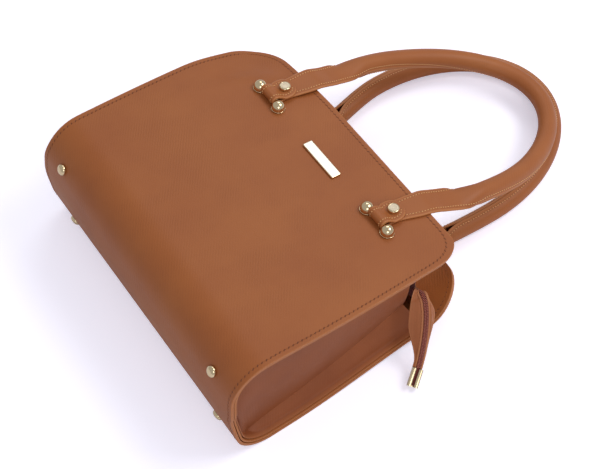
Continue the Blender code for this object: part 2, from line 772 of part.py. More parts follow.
def leg_height(start, start_slope, apex, sag, y):
    """Height of a handle between its strap and its apex: nearly straight, stiff at the strap."""
    run = apex.y - start.y
    drop = apex.z - start.z
    t = (y - start.y) / run
    stiff = (start_slope * run - drop) * t * (1 - t) ** LEG_STIFFNESS
    return start.z + drop * t + stiff - 4 * sag * t * (1 - t)


def arch_points(start, start_slope, apex, arch, side):
    """From the flat strap's end up one leg and round the arch to its apex."""
    half_width, height, sag = arch
    middle_y = apex.y - height
    wide = apex.x + side * half_width
    points = []
    for i in range(1, LEG_STEPS + 1):
        y = start.y + (middle_y - start.y) * i / LEG_STEPS
        x = start.x + (wide - start.x) * blend(i / LEG_STEPS)
        points.append(Vector((x, y, leg_height(start, start_slope, apex, sag, y))))
    for i in range(1, TUBE_STEPS + 1):
        a = math.pi / 2 * i / TUBE_STEPS
        y = middle_y + height * math.sin(a)
        x = apex.x + side * half_width * math.cos(a)
        points.append(Vector((x, y, leg_height(start, start_slope, apex, sag, y))))
    return points


def strap_end(rod, along, outward, side):
    """Where the flat strap of one leg ends and begins to curl."""
    return rod + Vector((side * ROD_X, 0, 0)) + along * STRAP_FLAT - outward * FOLD_RADIUS


def half_strip(rod, along, outward, apex, arch, side):
    """One half of a handle's strip, rows from the tongue's tip to the arch's apex."""
    anchor = rod + Vector((side * ROD_X, 0, 0))
    across = Vector((1, 0, 0))
    path = [(anchor + along * u + outward * h, w, 0.01) for u, h, w in tongue_points()]
    for i in range(STRAP_STEPS + 1):
        u = STRAP_FLAT * i / STRAP_STEPS
        path.append((anchor + along * u - outward * FOLD_RADIUS, *strip_width(u)))
    flat_count = len(path)
    start = path[-1][0]
    travelled = STRAP_FLAT
    before = start
    for point in arch_points(start, along.z / along.y, apex, arch, side):
        travelled += (point - before).length
        before = point
        path.append((point, *strip_width(travelled)))
    rows = []
    centres = []
    for i, (point, width, curl) in enumerate(path):
        ahead = path[min(i + 1, len(path) - 1)][0]
        behind = path[max(i - 1, 0)][0]
        run = (ahead - behind).normalized()
        if i == len(path) - 1:
            run = Vector((-side, 0, 0))
        if i >= flat_count:
            normal = (outward - run * outward.dot(run)).normalized()
            across = run.cross(normal)
        elif outward.z > 0:
            normal = across.cross(run)
        else:
            across = Vector((-1, 0, 0))
            normal = across.cross(run)
        rows.append(strip_row(point, across, normal, width, curl))
        if i >= flat_count and curl > math.radians(359 - TUBE_SEAM):
            centres.append(point)
    return rows, centres


def build_handle(bag, name, rod, along, outward, apex, arch):
    """One handle: a leather strip rolled round a cord, its flat ends folded round the rods."""
    left, left_core = half_strip(rod, along, outward, apex, arch, -1.0)
    right, right_core = half_strip(rod, along, outward, apex, arch, 1.0)
    rows = left + [list(reversed(row)) for row in reversed(right)][1:]
    carrier = bag.empty(name + "_handle_axis", Matrix.Translation(rod))
    strip = bag.add(name + "_handle", grid_mesh(name + "_handle", rows), "leather", carrier)
    thicken(strip, STRAP, 0.0)
    points = left_core + list(reversed(right_core))[1:]
    curve = bpy.data.curves.new(name + "_handle_core", "CURVE")
    curve.dimensions = "3D"
    curve.bevel_depth = TUBE_RADIUS - STRAP - CORE_GAP
    curve.bevel_resolution = 2
    curve.use_fill_caps = True
    spline = curve.splines.new("POLY")
    spline.points.add(len(points) - 1)
    for target, point in zip(spline.points, points):
        target.co = (*point, 1.0)
    bag.add(name + "_handle_core", curve, "cord", carrier)
    seat = STRAP * 1.5 + 2 * GAP - FOLD_RADIUS
    mesh = profile_mesh(name + "_rivet", cap_profile(RIVET_RADIUS, RIVET_CAP, 2 * GAP))
    for side, x in (("left", -ROD_X), ("right", ROD_X)):
        spot = rod + along * RIVET_ALONG + outward * seat + Vector((x, 0, 0))
        place = Matrix.Translation(spot) @ outward.to_track_quat("Z", "Y").to_matrix().to_4x4()
        rivet = bag.add(name + "_rivet_" + side, mesh, "gold", carrier, place)
        turn(rivet, 16)


def apex_at(rod, sway, z):
    """The top of a handle whose apex lies at height z, at the handle's reach from its rod."""
    return Vector((sway, rod.y + math.sqrt(HANDLE_REACH**2 - (rod.z - z) ** 2), z))


def handle_path(rod, along, outward, apex, arch):
    """The middle line of a handle beyond its flat straps, from its left leg to its right one."""
    legs = []
    for side in (-1.0, 1.0):
        start = strap_end(rod, along, outward, side)
        legs.append([start] + arch_points(start, along.z / along.y, apex, arch, side))
    return legs[0] + list(reversed(legs[1]))


def least_distance(first, second):
    """Least distance from the points of one path to the segments of another."""
    least = math.inf
    for low, high in zip(second, second[1:]):
        run = high - low
        for point in first:
            share = min(max((point - low).dot(run) / max(run.dot(run), 1e-12), 0.0), 1.0)
            least = min(least, (low + run * share - point).length)
    return least


def build_handles(bag):
    """The back handle lies on the floor and the front one leans over until it rests on it."""
    up = Vector((0, 1, 0))
    down = Vector((0, 0, -1))
    back_rod = rod_axis(back_z, -1.0)
    back_arch = (BACK_ARCH_HALF_WIDTH, BACK_ARCH_HEIGHT, BACK_SAG)
    back_apex = apex_at(back_rod, BACK_SWAY, TUBE_RADIUS)
    back_path = handle_path(back_rod, up, down, back_apex, back_arch)
    front_rod = rod_axis(front_z, 1.0)
    panel = panel_frame(front_z, ROD_Y, 1.0).to_3x3()
    along = panel.col[1].copy()
    outward = panel.col[2].copy()
    front_arch = (FRONT_ARCH_HALF_WIDTH, FRONT_ARCH_HEIGHT, FRONT_SAG)
    z = TUBE_RADIUS
    clear = 0.0
    while clear < 2 * TUBE_RADIUS + HANDLE_REST_GAP:
        z += HANDLE_REST_GAP / 4
        apex = apex_at(front_rod, FRONT_SWAY, z)
        path = handle_path(front_rod, along, outward, apex, front_arch)
        clear = least_distance(path, back_path)
    print("front handle's apex rests at", round(z, 5), "clear of the back one by", round(clear, 5))
    build_handle(bag, "front", front_rod, along, outward, apex, front_arch)
    build_handle(bag, "back", back_rod, up, down, back_apex, back_arch)


def base_frame(z):
    """A frame on the base's outer face at depth z: X across, Z outwards."""
    outline = base_outline()
    for low, high in zip(outline, outline[1:]):
        if low.y <= z <= high.y:
            spot = low.lerp(high, (z - low.y) / (high.y - low.y))
            run = high - low
            turned = math.atan2(run.y, run.x)
            return Matrix.Translation((0, spot.x, spot.y)) @ Matrix.Rotation(turned, 4, "X")
    raise ValueError("no base at this depth")


def build_feet(bag):
    """Four low domed feet on the base, near its corners."""
    profile = [(0, FOOT_HEIGHT), (FOOT_RADIUS * 0.45, FOOT_HEIGHT)]
    profile += [(FOOT_RADIUS * 0.8, FOOT_HEIGHT * 0.72), (FOOT_RADIUS, FOOT_HEIGHT * 0.3)]
    profile += [(FOOT_RADIUS, 0), (0, 0)]
    mesh = profile_mesh("foot", profile)
    foot_x = BODY_WIDTH / 2 - FOOT_SIDE_INSET
    for name, z in (("rear", FOOT_REAR_INSET), ("front", BASE_DEPTH - FOOT_FRONT_INSET)):
        for side, x in (("left", -foot_x), ("right", foot_x)):
            place = base_frame(z) @ Matrix.Translation((x, 0, GAP))
            foot = bag.add("foot_" + name + "_" + side, mesh, "gold", matrix=place)
            turn(foot, 16)


def build_plate(bag):
    """A bare metal plate with a bevelled rim and a sunk face."""
    body = bmesh.new()
    bmesh.ops.create_cube(body, size=1.0)
    bmesh.ops.scale(body, vec=(PLATE_LENGTH, PLATE_WIDTH, PLATE_THICKNESS), verts=body.verts)
    top = [face for face in body.faces if face.normal.z > 0.5]
    bmesh.ops.bevel(body, geom=top[0].edges[:], offset=PLATE_BEVEL, segments=1, affect="EDGES")
    top = [face for face in body.faces if face.normal.z > 0.95]
    bmesh.ops.inset_region(body, faces=top, thickness=PLATE_BEVEL)
    bmesh.ops.inset_region(body, faces=top, thickness=GAP / 2, depth=-PLATE_BEVEL / 2)
    mesh = bpy.data.meshes.new("front_plate")
    body.to_mesh(mesh)
    body.free()
    plate = bag.add("front_plate", mesh, "gold")
    lift = Matrix.Translation((0, 0, PLATE_THICKNESS / 2 + GAP))
    aside = Matrix.Translation((PLATE_X, 0, 0))
    plate.matrix_basis = aside @ panel_frame(front_z, PLATE_Y, 1.0) @ lift


def stand_on_origin(bag):
    """Moves the bag's frame so that the middle of its bounding box stands over the origin."""
    graph = bpy.context.evaluated_depsgraph_get()
    corners = []
    for piece in bag.collection.objects:
        if piece.type in ("MESH", "CURVE"):
            shown = piece.evaluated_get(graph)
            mesh = shown.to_mesh()
            corners += [shown.matrix_world @ vertex.co for vertex in mesh.vertices]
            shown.to_mesh_clear()
    low = [min(corner[i] for corner in corners) for i in range(3)]
    high = [max(corner[i] for corner in corners) for i in range(3)]
    bag.frame.location = (-(low[0] + high[0]) / 2, -(low[1] + high[1]) / 2, -low[2])
    bpy.context.view_layer.update()
    print("bag frame stands at", [round(x, 5) for x in bag.frame.location])
    print("overall size", [round(b - a, 5) for a, b in zip(low, high)])
    for axis in bag.collection.objects:
        if axis.type == "EMPTY" and axis != bag.frame:
            print(axis.name, [round(x, 5) for x in axis.matrix_world.translation])
    for name in ("foot_front_right", "foot_rear_right"):
        foot = bpy.data.objects[name]
        face = foot.matrix_world @ Vector((0, 0, FOOT_HEIGHT))
        normal = foot.matrix_world.to_3x3() @ Vector((0, 0, 1))
        print(name, [round(x, 5) for x in face], "facing", [round(x, 4) for x in normal])


def main():
    bag = Bag()
    build_walls(bag)
    build_gussets(bag)
    build_closure(bag)
    build_slider(bag)
    build_tail(bag)
    build_hardware(bag)
    build_handles(bag)
    build_feet(bag)
    build_plate(bag)
    stand_on_origin(bag)


main()
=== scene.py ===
"""The looks of a structured tote handbag with rolled handles, built round its fixed frame.

Lengths are in metres. The bag's own coordinates run across it along X from its middle, up it along
Y from its base, and out of its front panel along Z from the floor that its back panel lies on.
A pair of values named for a stretch says where a change starts and where it is complete.
"""
import math
from bisect import bisect_right
from collections import namedtuple

import bmesh
import bpy
from mathutils import Matrix, Vector, noise


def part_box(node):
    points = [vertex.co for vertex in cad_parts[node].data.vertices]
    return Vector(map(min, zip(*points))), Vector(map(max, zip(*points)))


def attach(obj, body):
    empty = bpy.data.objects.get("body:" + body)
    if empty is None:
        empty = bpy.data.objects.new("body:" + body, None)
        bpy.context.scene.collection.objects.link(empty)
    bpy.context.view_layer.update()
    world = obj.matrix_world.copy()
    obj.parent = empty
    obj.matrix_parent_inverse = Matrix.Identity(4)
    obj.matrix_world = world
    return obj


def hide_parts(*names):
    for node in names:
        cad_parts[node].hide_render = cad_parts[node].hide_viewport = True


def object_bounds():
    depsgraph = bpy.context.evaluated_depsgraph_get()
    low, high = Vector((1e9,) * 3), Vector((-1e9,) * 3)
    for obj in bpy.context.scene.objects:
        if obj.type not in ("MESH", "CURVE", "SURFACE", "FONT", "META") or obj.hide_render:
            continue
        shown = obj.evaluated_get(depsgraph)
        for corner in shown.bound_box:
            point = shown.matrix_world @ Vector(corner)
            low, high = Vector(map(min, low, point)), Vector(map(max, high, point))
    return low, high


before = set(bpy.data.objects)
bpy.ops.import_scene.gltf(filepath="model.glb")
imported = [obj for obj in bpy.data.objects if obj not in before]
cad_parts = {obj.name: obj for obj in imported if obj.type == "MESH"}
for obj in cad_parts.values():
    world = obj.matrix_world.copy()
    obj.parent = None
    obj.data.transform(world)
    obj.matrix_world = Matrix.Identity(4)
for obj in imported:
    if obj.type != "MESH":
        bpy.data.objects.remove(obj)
cad_low, cad_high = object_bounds()

# Body
BODY_WIDTH = 0.314
BODY_HEIGHT = 0.2386
BASE_DEPTH = 0.123
MOUTH_FRONT_Z = 0.099
SIDE_BOW = 0.0028
CORNER_RADIUS = 0.043
SHOULDER = BODY_HEIGHT - CORNER_RADIUS
BASE_REAR_Y = -0.003
BASE_MIDDLE_Y = -0.010
BASE_MIDDLE_Z = 0.066
BASE_FRONT_Y = -0.004
REAR_BEND_RADIUS = 0.036
MIDDLE_BEND_RADIUS = 0.120
FRONT_BEND_RADIUS = 0.036
BASE_ENDS = 0.004
BACK_FLAT_TO = 0.051
BACK_LIFT = 0.0102

# Layers at the lips, from the outer leather inwards
GAP = 0.0003
OUTER_LEATHER = 0.0027
SEAM = 0.0008
INNER_LEATHER = 0.0019
INNER_MARGIN = 0.0006
WALL = OUTER_LEATHER + SEAM + INNER_LEATHER
OUTER_ROUNDED = 0.0012
INNER_ROUNDED = 0.0008
WORN_EDGE = 0.0012

# Corners of the mouth that have bent inwards: how far, and over what stretches
FRONT_LEFT_DROOP = 0.0150
DROOP_ACROSS = (0.040, 0.150)
DROOP_START = 0.200
DROOP_LOWERED = 0.055
DROOP_LOWERED_ACROSS = (0.100, 0.135)
BACK_RIGHT_CURL = 0.022
BACK_LEFT_CURL = 0.013
CURL_ACROSS = (0.098, 0.156)
CURL_START = 0.186
CURL_POWER = 1.3
BEND_SHORTENS = 0.10

# How the soft body lies: the front leans to the left and is drawn in, the back is pulled up
FRONT_LEAN = 0.0057
FRONT_DRAWN_IN = 0.019
DRAWN_IN_HEIGHTS = (0.045, 0.030)
BACK_PULLED_UP = 0.0135
BACK_SPREAD = 0.019
BACK_SPREAD_BELOW = 0.050
BACK_SPREAD_ENDS = (0.050, 0.170)
BACK_RIGHT_OUT = 0.008
BACK_RIGHT_OUT_UP = (0.165, 0.210)
SQUARE_CORNER = (0.019, 0.028)

# Gussets
GUSSET_TOP_Y = 0.1866
LIP = 0.008
GUSSET_FOLD = (0.003, 0.0125)
GUSSET_CREASE_LOW = 0.010
GUSSET_CREASE_DEPTH = (0.10, 0.32)
GUSSET_CREASE_POWER = 1.25
GUSSET_LEATHER = 0.0012
FLANGE_SET_BACK = 0.0022
GUSSET_ROUND = 0.0030
GUSSET_ROUND_SHARES = (0.25, 0.5, 0.75, 1.0)
GUSSET_STEPS = 16
GUSSET_CROWDING = 1.6
GUSSET_BULGE = 0.035
GUSSET_SLACK = 0.0022
GUSSET_WAVES = ((22.0, 0.0022), (55.0, 0.0007))
GUSSET_ROUNDED = 0.0003
WELD_WITHIN = 0.0002

# Zip closure
CLOSURE_Y = BODY_HEIGHT - 0.040
CLOSURE_HALF_LENGTH = 0.138
CLOSURE_FLANGE = 0.006
CLOSURE_BEND = 0.0022
CLOSURE_SAG = 0.0012
CLOSURE_WAVE = (14.0, 0.0010)
CLOSURE_STEPS = 60
CLOSURE_ROW = 0.003
CLOSURE_SEWN_ROWS = (2, 5)
FACING = 0.0012
FACING_ROUNDED = 0.0004
ZIP_SLOT = 0.009
TAPE_WIDTH = 0.014
TAPE = 0.0006
TAPE_TOP = CLOSURE_Y - FACING - GAP
CHAIN_SPLIT = 0.0013
CHAIN_WIDTH = 0.0030
CHAIN_THICKNESS = 0.0015
COIL_PITCH = 0.0014
COIL_WIRE = COIL_PITCH * 0.34
COIL_WIRE_SIZES = (0.9, 1.0, 1.15, 1.0, 0.8)
COIL_PAST_SPLIT = 0.0004

# Slider and pull
SLIDER_LENGTH = 0.011
SLIDER_WIDTH = 0.0092
SLIDER_PLATE = 0.0011
SLIDER_WEB_X = -SLIDER_LENGTH * 0.36
SLIDER_WEB = (0.0012, 0.0006)
SLIDER_WEB_SUNK = 0.0002
SLIDER_LEVELS = ((0.0003, 0.0), (0.0, 0.25), (0.0, 0.75), (0.0004, 1.0))
SLIDER_START = 0.124
EAR_LENGTH = 0.0011
EAR_SHAPE = ((0.0, 2.2), (0.3, 1.7), (0.62, 1.35), (0.9, 1.3), (1.12, 1.05), (1.24, 0.45))
PULL_LENGTH = 0.030
PULL_WIDTH = 0.0075
PULL_NECK = 0.0048
PULL_THICKNESS = 0.0014
PULL_PIN_RADIUS = 0.0008
PULL_PIN_HEIGHT = 0.0029
PULL_CURL = (math.radians(40), math.radians(270))
PULL_EDGE = 0.0004

# Zip tail, from the closure's +X end down to the floor. A leaf's widths are those at its root and
# where it is widest, then the shares of its length where it widens, is widest and has narrowed.
TAIL_GAP = 0.0006
TAIL_BARE_TAPE = 0.0048
TAIL_TAPE_EDGE = 0.0006
TAIL_ROOT_RUN = (0.0155, 0.0062, 0.020)
TAIL_TIP = (0.185, 0.1685, 0.0128)
TAIL_TIP_RUN = (0.0110, -0.0163, -0.0106)
TAIL_FACING = (0.49, -0.36, 0.80)
TAIL_TURN_BY = 0.22
TAIL_WIDTHS = {
    "front": (0.0100, 0.0152, 0.0, 0.56, 0.94),
    "back": (0.0034, 0.0104, 0.24, 0.48, 0.76),
}
TAIL_ROOT_SHARE = 0.35
TAIL_LEAF_OPENS_BY = 0.18
TAIL_TAPE_OPENS_BY = 0.10
TAIL_COIL = 0.64
TAIL_HALF_TIP = 0.0048
TAIL_FOLDS = {"front": (4.0, 25.0), "back": (30.0, 75.0)}
TAIL_STEPS = 44
LEAF_LIFT = 0.0002
LEAF_STEPS = 10
LEAF_SEWN_WIDTH = 0.0030
END_CAP_LENGTH = 0.017
END_CAP_WIDTH = 0.0098
END_CAP_THICKNESS = 0.0056
END_CAP_WALL = 0.0008
END_CAP_SLOT = 0.0026
END_CAP_EDGE = 0.0004
END_CAP_ROUNDED = 0.00018

# Stitches: how far in from an edge they lie, and how much further in a path runs beside them that
# shows how the surface lies. Then each kind as its pitch, its thread's radius, its needle slots'
# length and half width, and how far those slant. The slots are dark marks of painted shade for the
# holes that the thread passes through. The margin is the share of a step that each end of a stitch
# leaves bare.
EDGE_STITCH_IN = 0.0047
EDGE_BESIDE = 0.0012
EDGE_INNER_LIFT = 0.0002
STRAP_STITCH_IN = 0.0029
LEAF_STITCH_IN = 0.0016
BESIDE = 0.0010
EDGE_STITCH = (0.0044, 0.00028, (0.0026, 0.00056), 0.75)
SMALL_HOLE = (0.0006, 0.00030)
STRAP_STITCH = (0.0029, 0.00042, SMALL_HOLE)
CLOSURE_STITCH = (0.0032, 0.00036, SMALL_HOLE)
LEAF_STITCH = (0.0030, 0.00030, SMALL_HOLE)
HOLE_DEPTH = 0.00009
HOLE_SHAPE = ((-0.5, 0.4), (-0.25, 1.0), (0.25, 1.0), (0.5, 0.4))
STITCH_MARGIN = 0.17
STITCH_SHAPE = ((0.0, 0.35, -0.7), (0.15, 0.85, 0.1), (0.5, 1.0, 0.5), (0.85, 0.85, 0.1), (1.0, 0.35, -0.7))

# Handle hardware
ROD_Y = 0.194
ROD_X = 0.084
ROD_RADIUS = 0.0022
BALL_RADIUS = 0.0063
BALL_HEIGHT = 0.0027
BALL_BACK = 0.0012
STUD_X = 0.0149
STUD_FLANGE_RADIUS = 0.0066
STUD_FLANGE = 0.0010
STUD_ROUNDED = 0.0005
RIVET_RADIUS = 0.0053
RIVET_CAP = 0.0030
RIVET_FACE = 0.0041
RIVET_STEP = 0.0002
RIVET_DOME = RIVET_CAP * 0.30
RIVET_ALONG = 0.0163

# Handles
STRAP = 0.0022
STRAP_WIDTH_AT_ROD = 0.0184
STRAP_WIDTH = 0.0246
STRAP_NARROW_TO = 0.0075
STRAP_FLAT = 0.046
STRAP_HALF_GIRTH = 0.0136
STRAP_WORN_EDGE = 0.0010
STRIP_RISES_BEFORE = 0.012
TONGUE = 0.0262
TONGUE_WIDTH = 0.0215
TONGUE_LANDS = 0.0108
TUBE_RADIUS = 0.0092
SEAM_FLANGE = 0.0008
SEAM_CLOSES = (250.0, 340.0)
SEAM_LIFTS_FROM = 0.88
HANDLE_REACH = 0.270
CORE_FILL = 0.93
SWAY_GROWS = (0.010, 0.056)
SWAY_FALLS = ((0.056, 0.126), (0.160, 0.290))
DROOP_GROWS = (0.0, 0.10)
DROOP_FALLS = (0.14, 0.44)
LEG_STIFFNESS = 8
CORD_RADIUS = TUBE_RADIUS - STRAP / 2
FOLD_RADIUS = ROD_RADIUS + GAP + STRAP / 2
ROD_STANDOFF = FOLD_RADIUS + STRAP / 2 + GAP

# The two handles: where the apex lies, the arch's half width and height, how far its middle sags,
# its legs droop and its left and right straps sway, and how the strip becomes a tube. edges gives
# each edge's last angle in degrees and the stretch from the rod over which it curls to that.
Handle = namedtuple("Handle", "name apex_x apex_z half height sag droop sways edges drawn_over")
FRONT_HANDLE = Handle(
    name="front",
    apex_x=0.0034,
    apex_z=0.0246,
    half=0.0905,
    height=0.147,
    sag=0.0036,
    droop=0.0030,
    sways=(0.0020, 0.0064),
    edges=((93.0, 0.062, 0.110), (-253.0, 0.070, 0.120)),
    drawn_over=(0.086, 0.116),
)
BACK_HANDLE = Handle(
    name="back",
    apex_x=-0.0052,
    apex_z=TUBE_RADIUS + SEAM_FLANGE,
    half=0.0942,
    height=0.130,
    sag=0.0,
    droop=0.0,
    sways=(0.0, 0.0),
    edges=((159.0, 0.022, 0.100), (-187.0, 0.022, 0.100)),
    drawn_over=(0.054, 0.084),
)

# Feet and plate
FOOT_SIDE_INSET = 0.0327
FOOT_REAR_INSET = 0.0197
FOOT_FRONT_INSET = 0.0226
FOOT_RADIUS = 0.0053
FOOT_WASHER = 0.0009
FOOT_FACE = 0.0012
FOOT_CROWN = 0.0027
PLATE_X = 0.0022
PLATE_Y = 0.1916
PLATE_LENGTH = 0.046
PLATE_WIDTH = 0.0102
PLATE_THICKNESS = 0.0018
PLATE_BEVEL = 0.0007
PLATE_CORNER = 0.0012

# Steps of the meshes, and how closely they crowd at a panel's sides and a strip's edges
STEPS_SIDE = 40
SIDE_CROWDING = 1.6
STEPS_PANEL = 34
STEPS_BEND = 12
STEPS_CORNER = 14
ACROSS_STEPS = 40
STRAP_STEPS = 16
LEG_STEPS = 46
CORE_SKIP = 3
TUBE_STEPS = 44
SECTION_STEPS = 36
SECTION_CROWDING = 1.25

# Camera, floor, lamps and world
CAMERA_LENS = 82.8
CAMERA_AZIMUTH = 55.54
CAMERA_ELEVATION = 56.5
CAMERA_ROLL = -0.35
CAMERA_DISTANCE = 1.2624
CAMERA_AIM = (0.0277, 0.15012, 0.05)
FLOOR_HALF = 6
FLOOR_BELOW = 0.0002
FLOOR_GLOW = 0.44
LAMP_AIM = (0.0, 0.0, 0.05)
LAMPS = {
    "key": {"spot": (0.5, 0.9, 1.5), "size": (0.9, 0.7), "power": 10.3},
    "fill": {"spot": (1.3, -0.7, 1.2), "size": (0.8, 0.8), "power": 4.6},
    "back": {"spot": (-0.8, 0.7, 1.3), "size": (0.8, 0.6), "power": 3.2},
}
WORLD_COLOUR = (0.93, 0.945, 1.0, 1.0)
WORLD_STRENGTH = 0.52

BLACK = (0.0, 0.0, 0.0, 1.0)
WHITE = (1.0, 1.0, 1.0, 1.0)

wrap_low, wrap_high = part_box("outer_wrap")
BAG = Matrix.Translation(((wrap_low.x + wrap_high.x) / 2, wrap_high.y - BODY_HEIGHT, 0))


def share_of(value, start, end):
    """How far a value has come from start to end, between 0 and 1."""
    return min(max((value - start) / (end - start), 0.0), 1.0)


def blend(value, start=0.0, end=1.0):
    """As share_of, but easing in and out."""
    t = share_of(value, start, end)
    return t * t * (3 - 2 * t)


def shares(steps, first=0):
    """The share of the way that is done after each of a number of equal steps."""
    return [i / steps for i in range(first, steps + 1)]


def crowded(steps, power):
    """Places from -1 to 1 that lie closer together towards both ends."""
    even = [2 * t - 1 for t in shares(steps)]
    return [math.copysign(1 - (1 - abs(t)) ** power, t) for t in even]


def runs(points):
    """Which way a path runs at each of its points, from the point before to the one after."""
    befores = [points[0], *points]
    afters = [*points[1:], points[-1]]
    return [after - before for before, after in zip(befores, afters)]


def srgb(red, green, blue):
    """A colour given as 8-bit sRGB values, as the linear colour that the nodes take."""
    linear = []
    for value in (red, green, blue):
        share = value / 255
        linear.append(share / 12.92 if share <= 0.04045 else ((share + 0.055) / 1.055) ** 2.4)
    return (*linear, 1.0)


def darker(colour, share):
    return (*(value * share for value in colour[:3]), 1.0)


class Nodes:
    """The node tree of a new material or world, with short ways to add nodes and join them."""

    def __init__(self, name, owners=bpy.data.materials):
        self.owner = owners.new(name)
        self.owner.use_nodes = True
        self.tree = self.owner.node_tree

    def add(self, kind, inputs=None, **settings):
        """A node. inputs gives a value or a socket for its own sockets, by name or number."""
        node = self.tree.nodes.new("ShaderNode" + kind)
        for name, value in settings.items():
            setattr(node, name, value)
        for key, value in (inputs or {}).items():
            self.join(value, node.inputs[key])
        return node

    def join(self, value, socket):
        if isinstance(value, bpy.types.NodeSocket):
            self.tree.links.new(value, socket)
        else:
            socket.default_value = value

    def place(self, scale=(1, 1, 1), turn=(0, 0, 0)):
        """Object coordinates, in metres, scaled and turned."""
        coordinates = self.add("TexCoord").outputs["Object"]
        mapping = self.add("Mapping", {"Vector": coordinates, "Scale": scale, "Rotation": turn})
        return mapping.outputs["Vector"]

    def noise(self, scale, detail=3.0, rough=0.6, stretch=(1, 1, 1)):
        inputs = {"Vector": self.place(stretch), "Scale": scale, "Detail": detail, "Roughness": rough}
        return self.add("TexNoise", inputs).outputs["Fac"]

    def wave(self, scale, distortion, turn, detail_scale=1.0):
        inputs = {"Vector": self.place(turn=turn), "Scale": scale, "Distortion": distortion}
        return self.add("TexWave", {**inputs, "Detail Scale": detail_scale}).outputs["Fac"]

    def math(self, operation, *values):
        return self.add("Math", dict(enumerate(values)), operation=operation).outputs[0]

    def ramp(self, value, start, end, low=BLACK, high=WHITE):
        """A colour that goes from low to high as the value goes from start to end."""
        node = self.add("ValToRGB", {"Fac": value})
        for element, place, colour in zip(node.color_ramp.elements, (start, end), (low, high)):
            element.position = place
            element.color = colour
        return node.outputs["Color"]

    def mix(self, share, first, second):
        inputs = {"Factor": share, "A": first, "B": second}
        return self.add("Mix", inputs, data_type="RGBA").outputs["Result"]

    def bump(self, height, distance, strength, **under):
        inputs = {"Height": height, "Distance": distance, "Strength": strength}
        return self.add("Bump", {**inputs, **under}).outputs["Normal"]

    def finish(self, shader="Principled BSDF", **sockets):
        """Sets the shader's own sockets, with an underscore for each space in a name."""
        for name, value in sockets.items():
            self.join(value, self.tree.nodes[shader].inputs[name.replace("_", " ")])
        return self.owner


def make_leather(name, colour, shadow, light, roughness=0.50, grain=1.0):
    """Cross-grained leather: slanting ridges, small cells and sparse creases, worn pale at rims."""
    colour, shadow, light = srgb(*colour), srgb(*shadow), srgb(*light)
    nodes = Nodes(name)
    cloudy = nodes.noise(14.0, 4.0, 0.55)
    fine = nodes.noise(900.0, 2.0)
    ridges = [nodes.wave(290.0, 4.0, (0.35, 0.25, turn), 1.4) for turn in (0.55, -0.75)]
    crossed = nodes.math("MULTIPLY", nodes.math("ADD", *ridges), 0.3)
    cells = nodes.add("TexVoronoi", {"Vector": nodes.place(), "Scale": 820.0}).outputs["Distance"]
    relief = nodes.math("MULTIPLY_ADD", cells, 0.6, crossed)
    clumps = nodes.ramp(nodes.noise(44.0, stretch=(1, 0.4, 1)), 0.40, 0.62, (0.12, 0.12, 0.12, 1.0))
    creases = nodes.math("MULTIPLY", nodes.wave(138.0, 3.5, (0, 0, -0.94), 2.0), clumps)
    wear = nodes.add("Attribute", attribute_name="rim").outputs["Fac"]
    base = nodes.mix(nodes.ramp(cloudy, 0.30, 0.72), shadow, colour)
    ridged = nodes.math("SUBTRACT", 1.0, nodes.ramp(relief, 0.20, 0.62))
    base = nodes.mix(nodes.math("MULTIPLY", ridged, 0.22 * grain), base, shadow)
    base = nodes.mix(nodes.math("MULTIPLY", creases, 0.13 * grain), base, darker(shadow, 0.5))
    base = nodes.mix(nodes.math("MULTIPLY", wear, 0.55), base, light)
    normal = nodes.bump(relief, 0.00012 * grain, 0.55)
    normal = nodes.bump(creases, -0.00006 * grain, 1.0, Normal=normal)
    return nodes.finish(
        Base_Color=base,
        Roughness=nodes.math("MULTIPLY_ADD", fine, 0.12, roughness - 0.06),
        Normal=nodes.bump(cloudy, 0.0006, 0.12, Normal=normal),
        Specular_IOR_Level=0.34,
        Coat_Weight=0.03,
        Coat_Roughness=0.38,
    )


def make_metal(name, colour, roughness, scratches=0.02, metallic=1.0):
    """Plated metal with faint smudges and scratches."""
    colour = srgb(*colour)
    nodes = Nodes(name)
    rough = nodes.math("MULTIPLY_ADD", nodes.noise(260.0), scratches, roughness)
    shade = nodes.ramp(nodes.noise(60.0), 0.2, 0.8, darker(colour, 0.93), colour)
    return nodes.finish(Base_Color=shade, Metallic=metallic, Roughness=rough)


def make_thread(name, colour, dark):
    """Twisted sewing thread."""
    nodes = Nodes(name)
    twist = nodes.wave(1500.0, 1.0, (0.4, 0.7, 0.9))
    shade = nodes.mix(twist, srgb(*dark), srgb(*colour))
    normal = nodes.bump(twist, 0.0001, 0.5)
    return nodes.finish(Base_Color=shade, Roughness=0.62, Normal=normal, Specular_IOR_Level=0.3)


def make_cloth(name, colour, dark, pitch, roughness=0.85):
    """A plain weave whose threads lie pitch apart."""
    nodes = Nodes(name)
    waves = [nodes.wave(0.16 / pitch, 0.4, (0, 0, turn)) for turn in (0, math.pi / 2)]
    weave = nodes.math("MAXIMUM", *waves)
    shade = nodes.mix(weave, srgb(*dark), srgb(*colour))
    normal = nodes.bump(weave, pitch * 0.2, 0.5)
    return nodes.finish(Base_Color=shade, Roughness=roughness, Normal=normal, Sheen_Weight=0.15)


def make_plain(name, colour, roughness):
    """A plain finish with slight mottling."""
    colour = srgb(*colour)
    nodes = Nodes(name)
    shade = nodes.mix(nodes.noise(180.0, 4.0, 0.5), darker(colour, 0.88), colour)
    return nodes.finish(Base_Color=shade, Roughness=roughness)


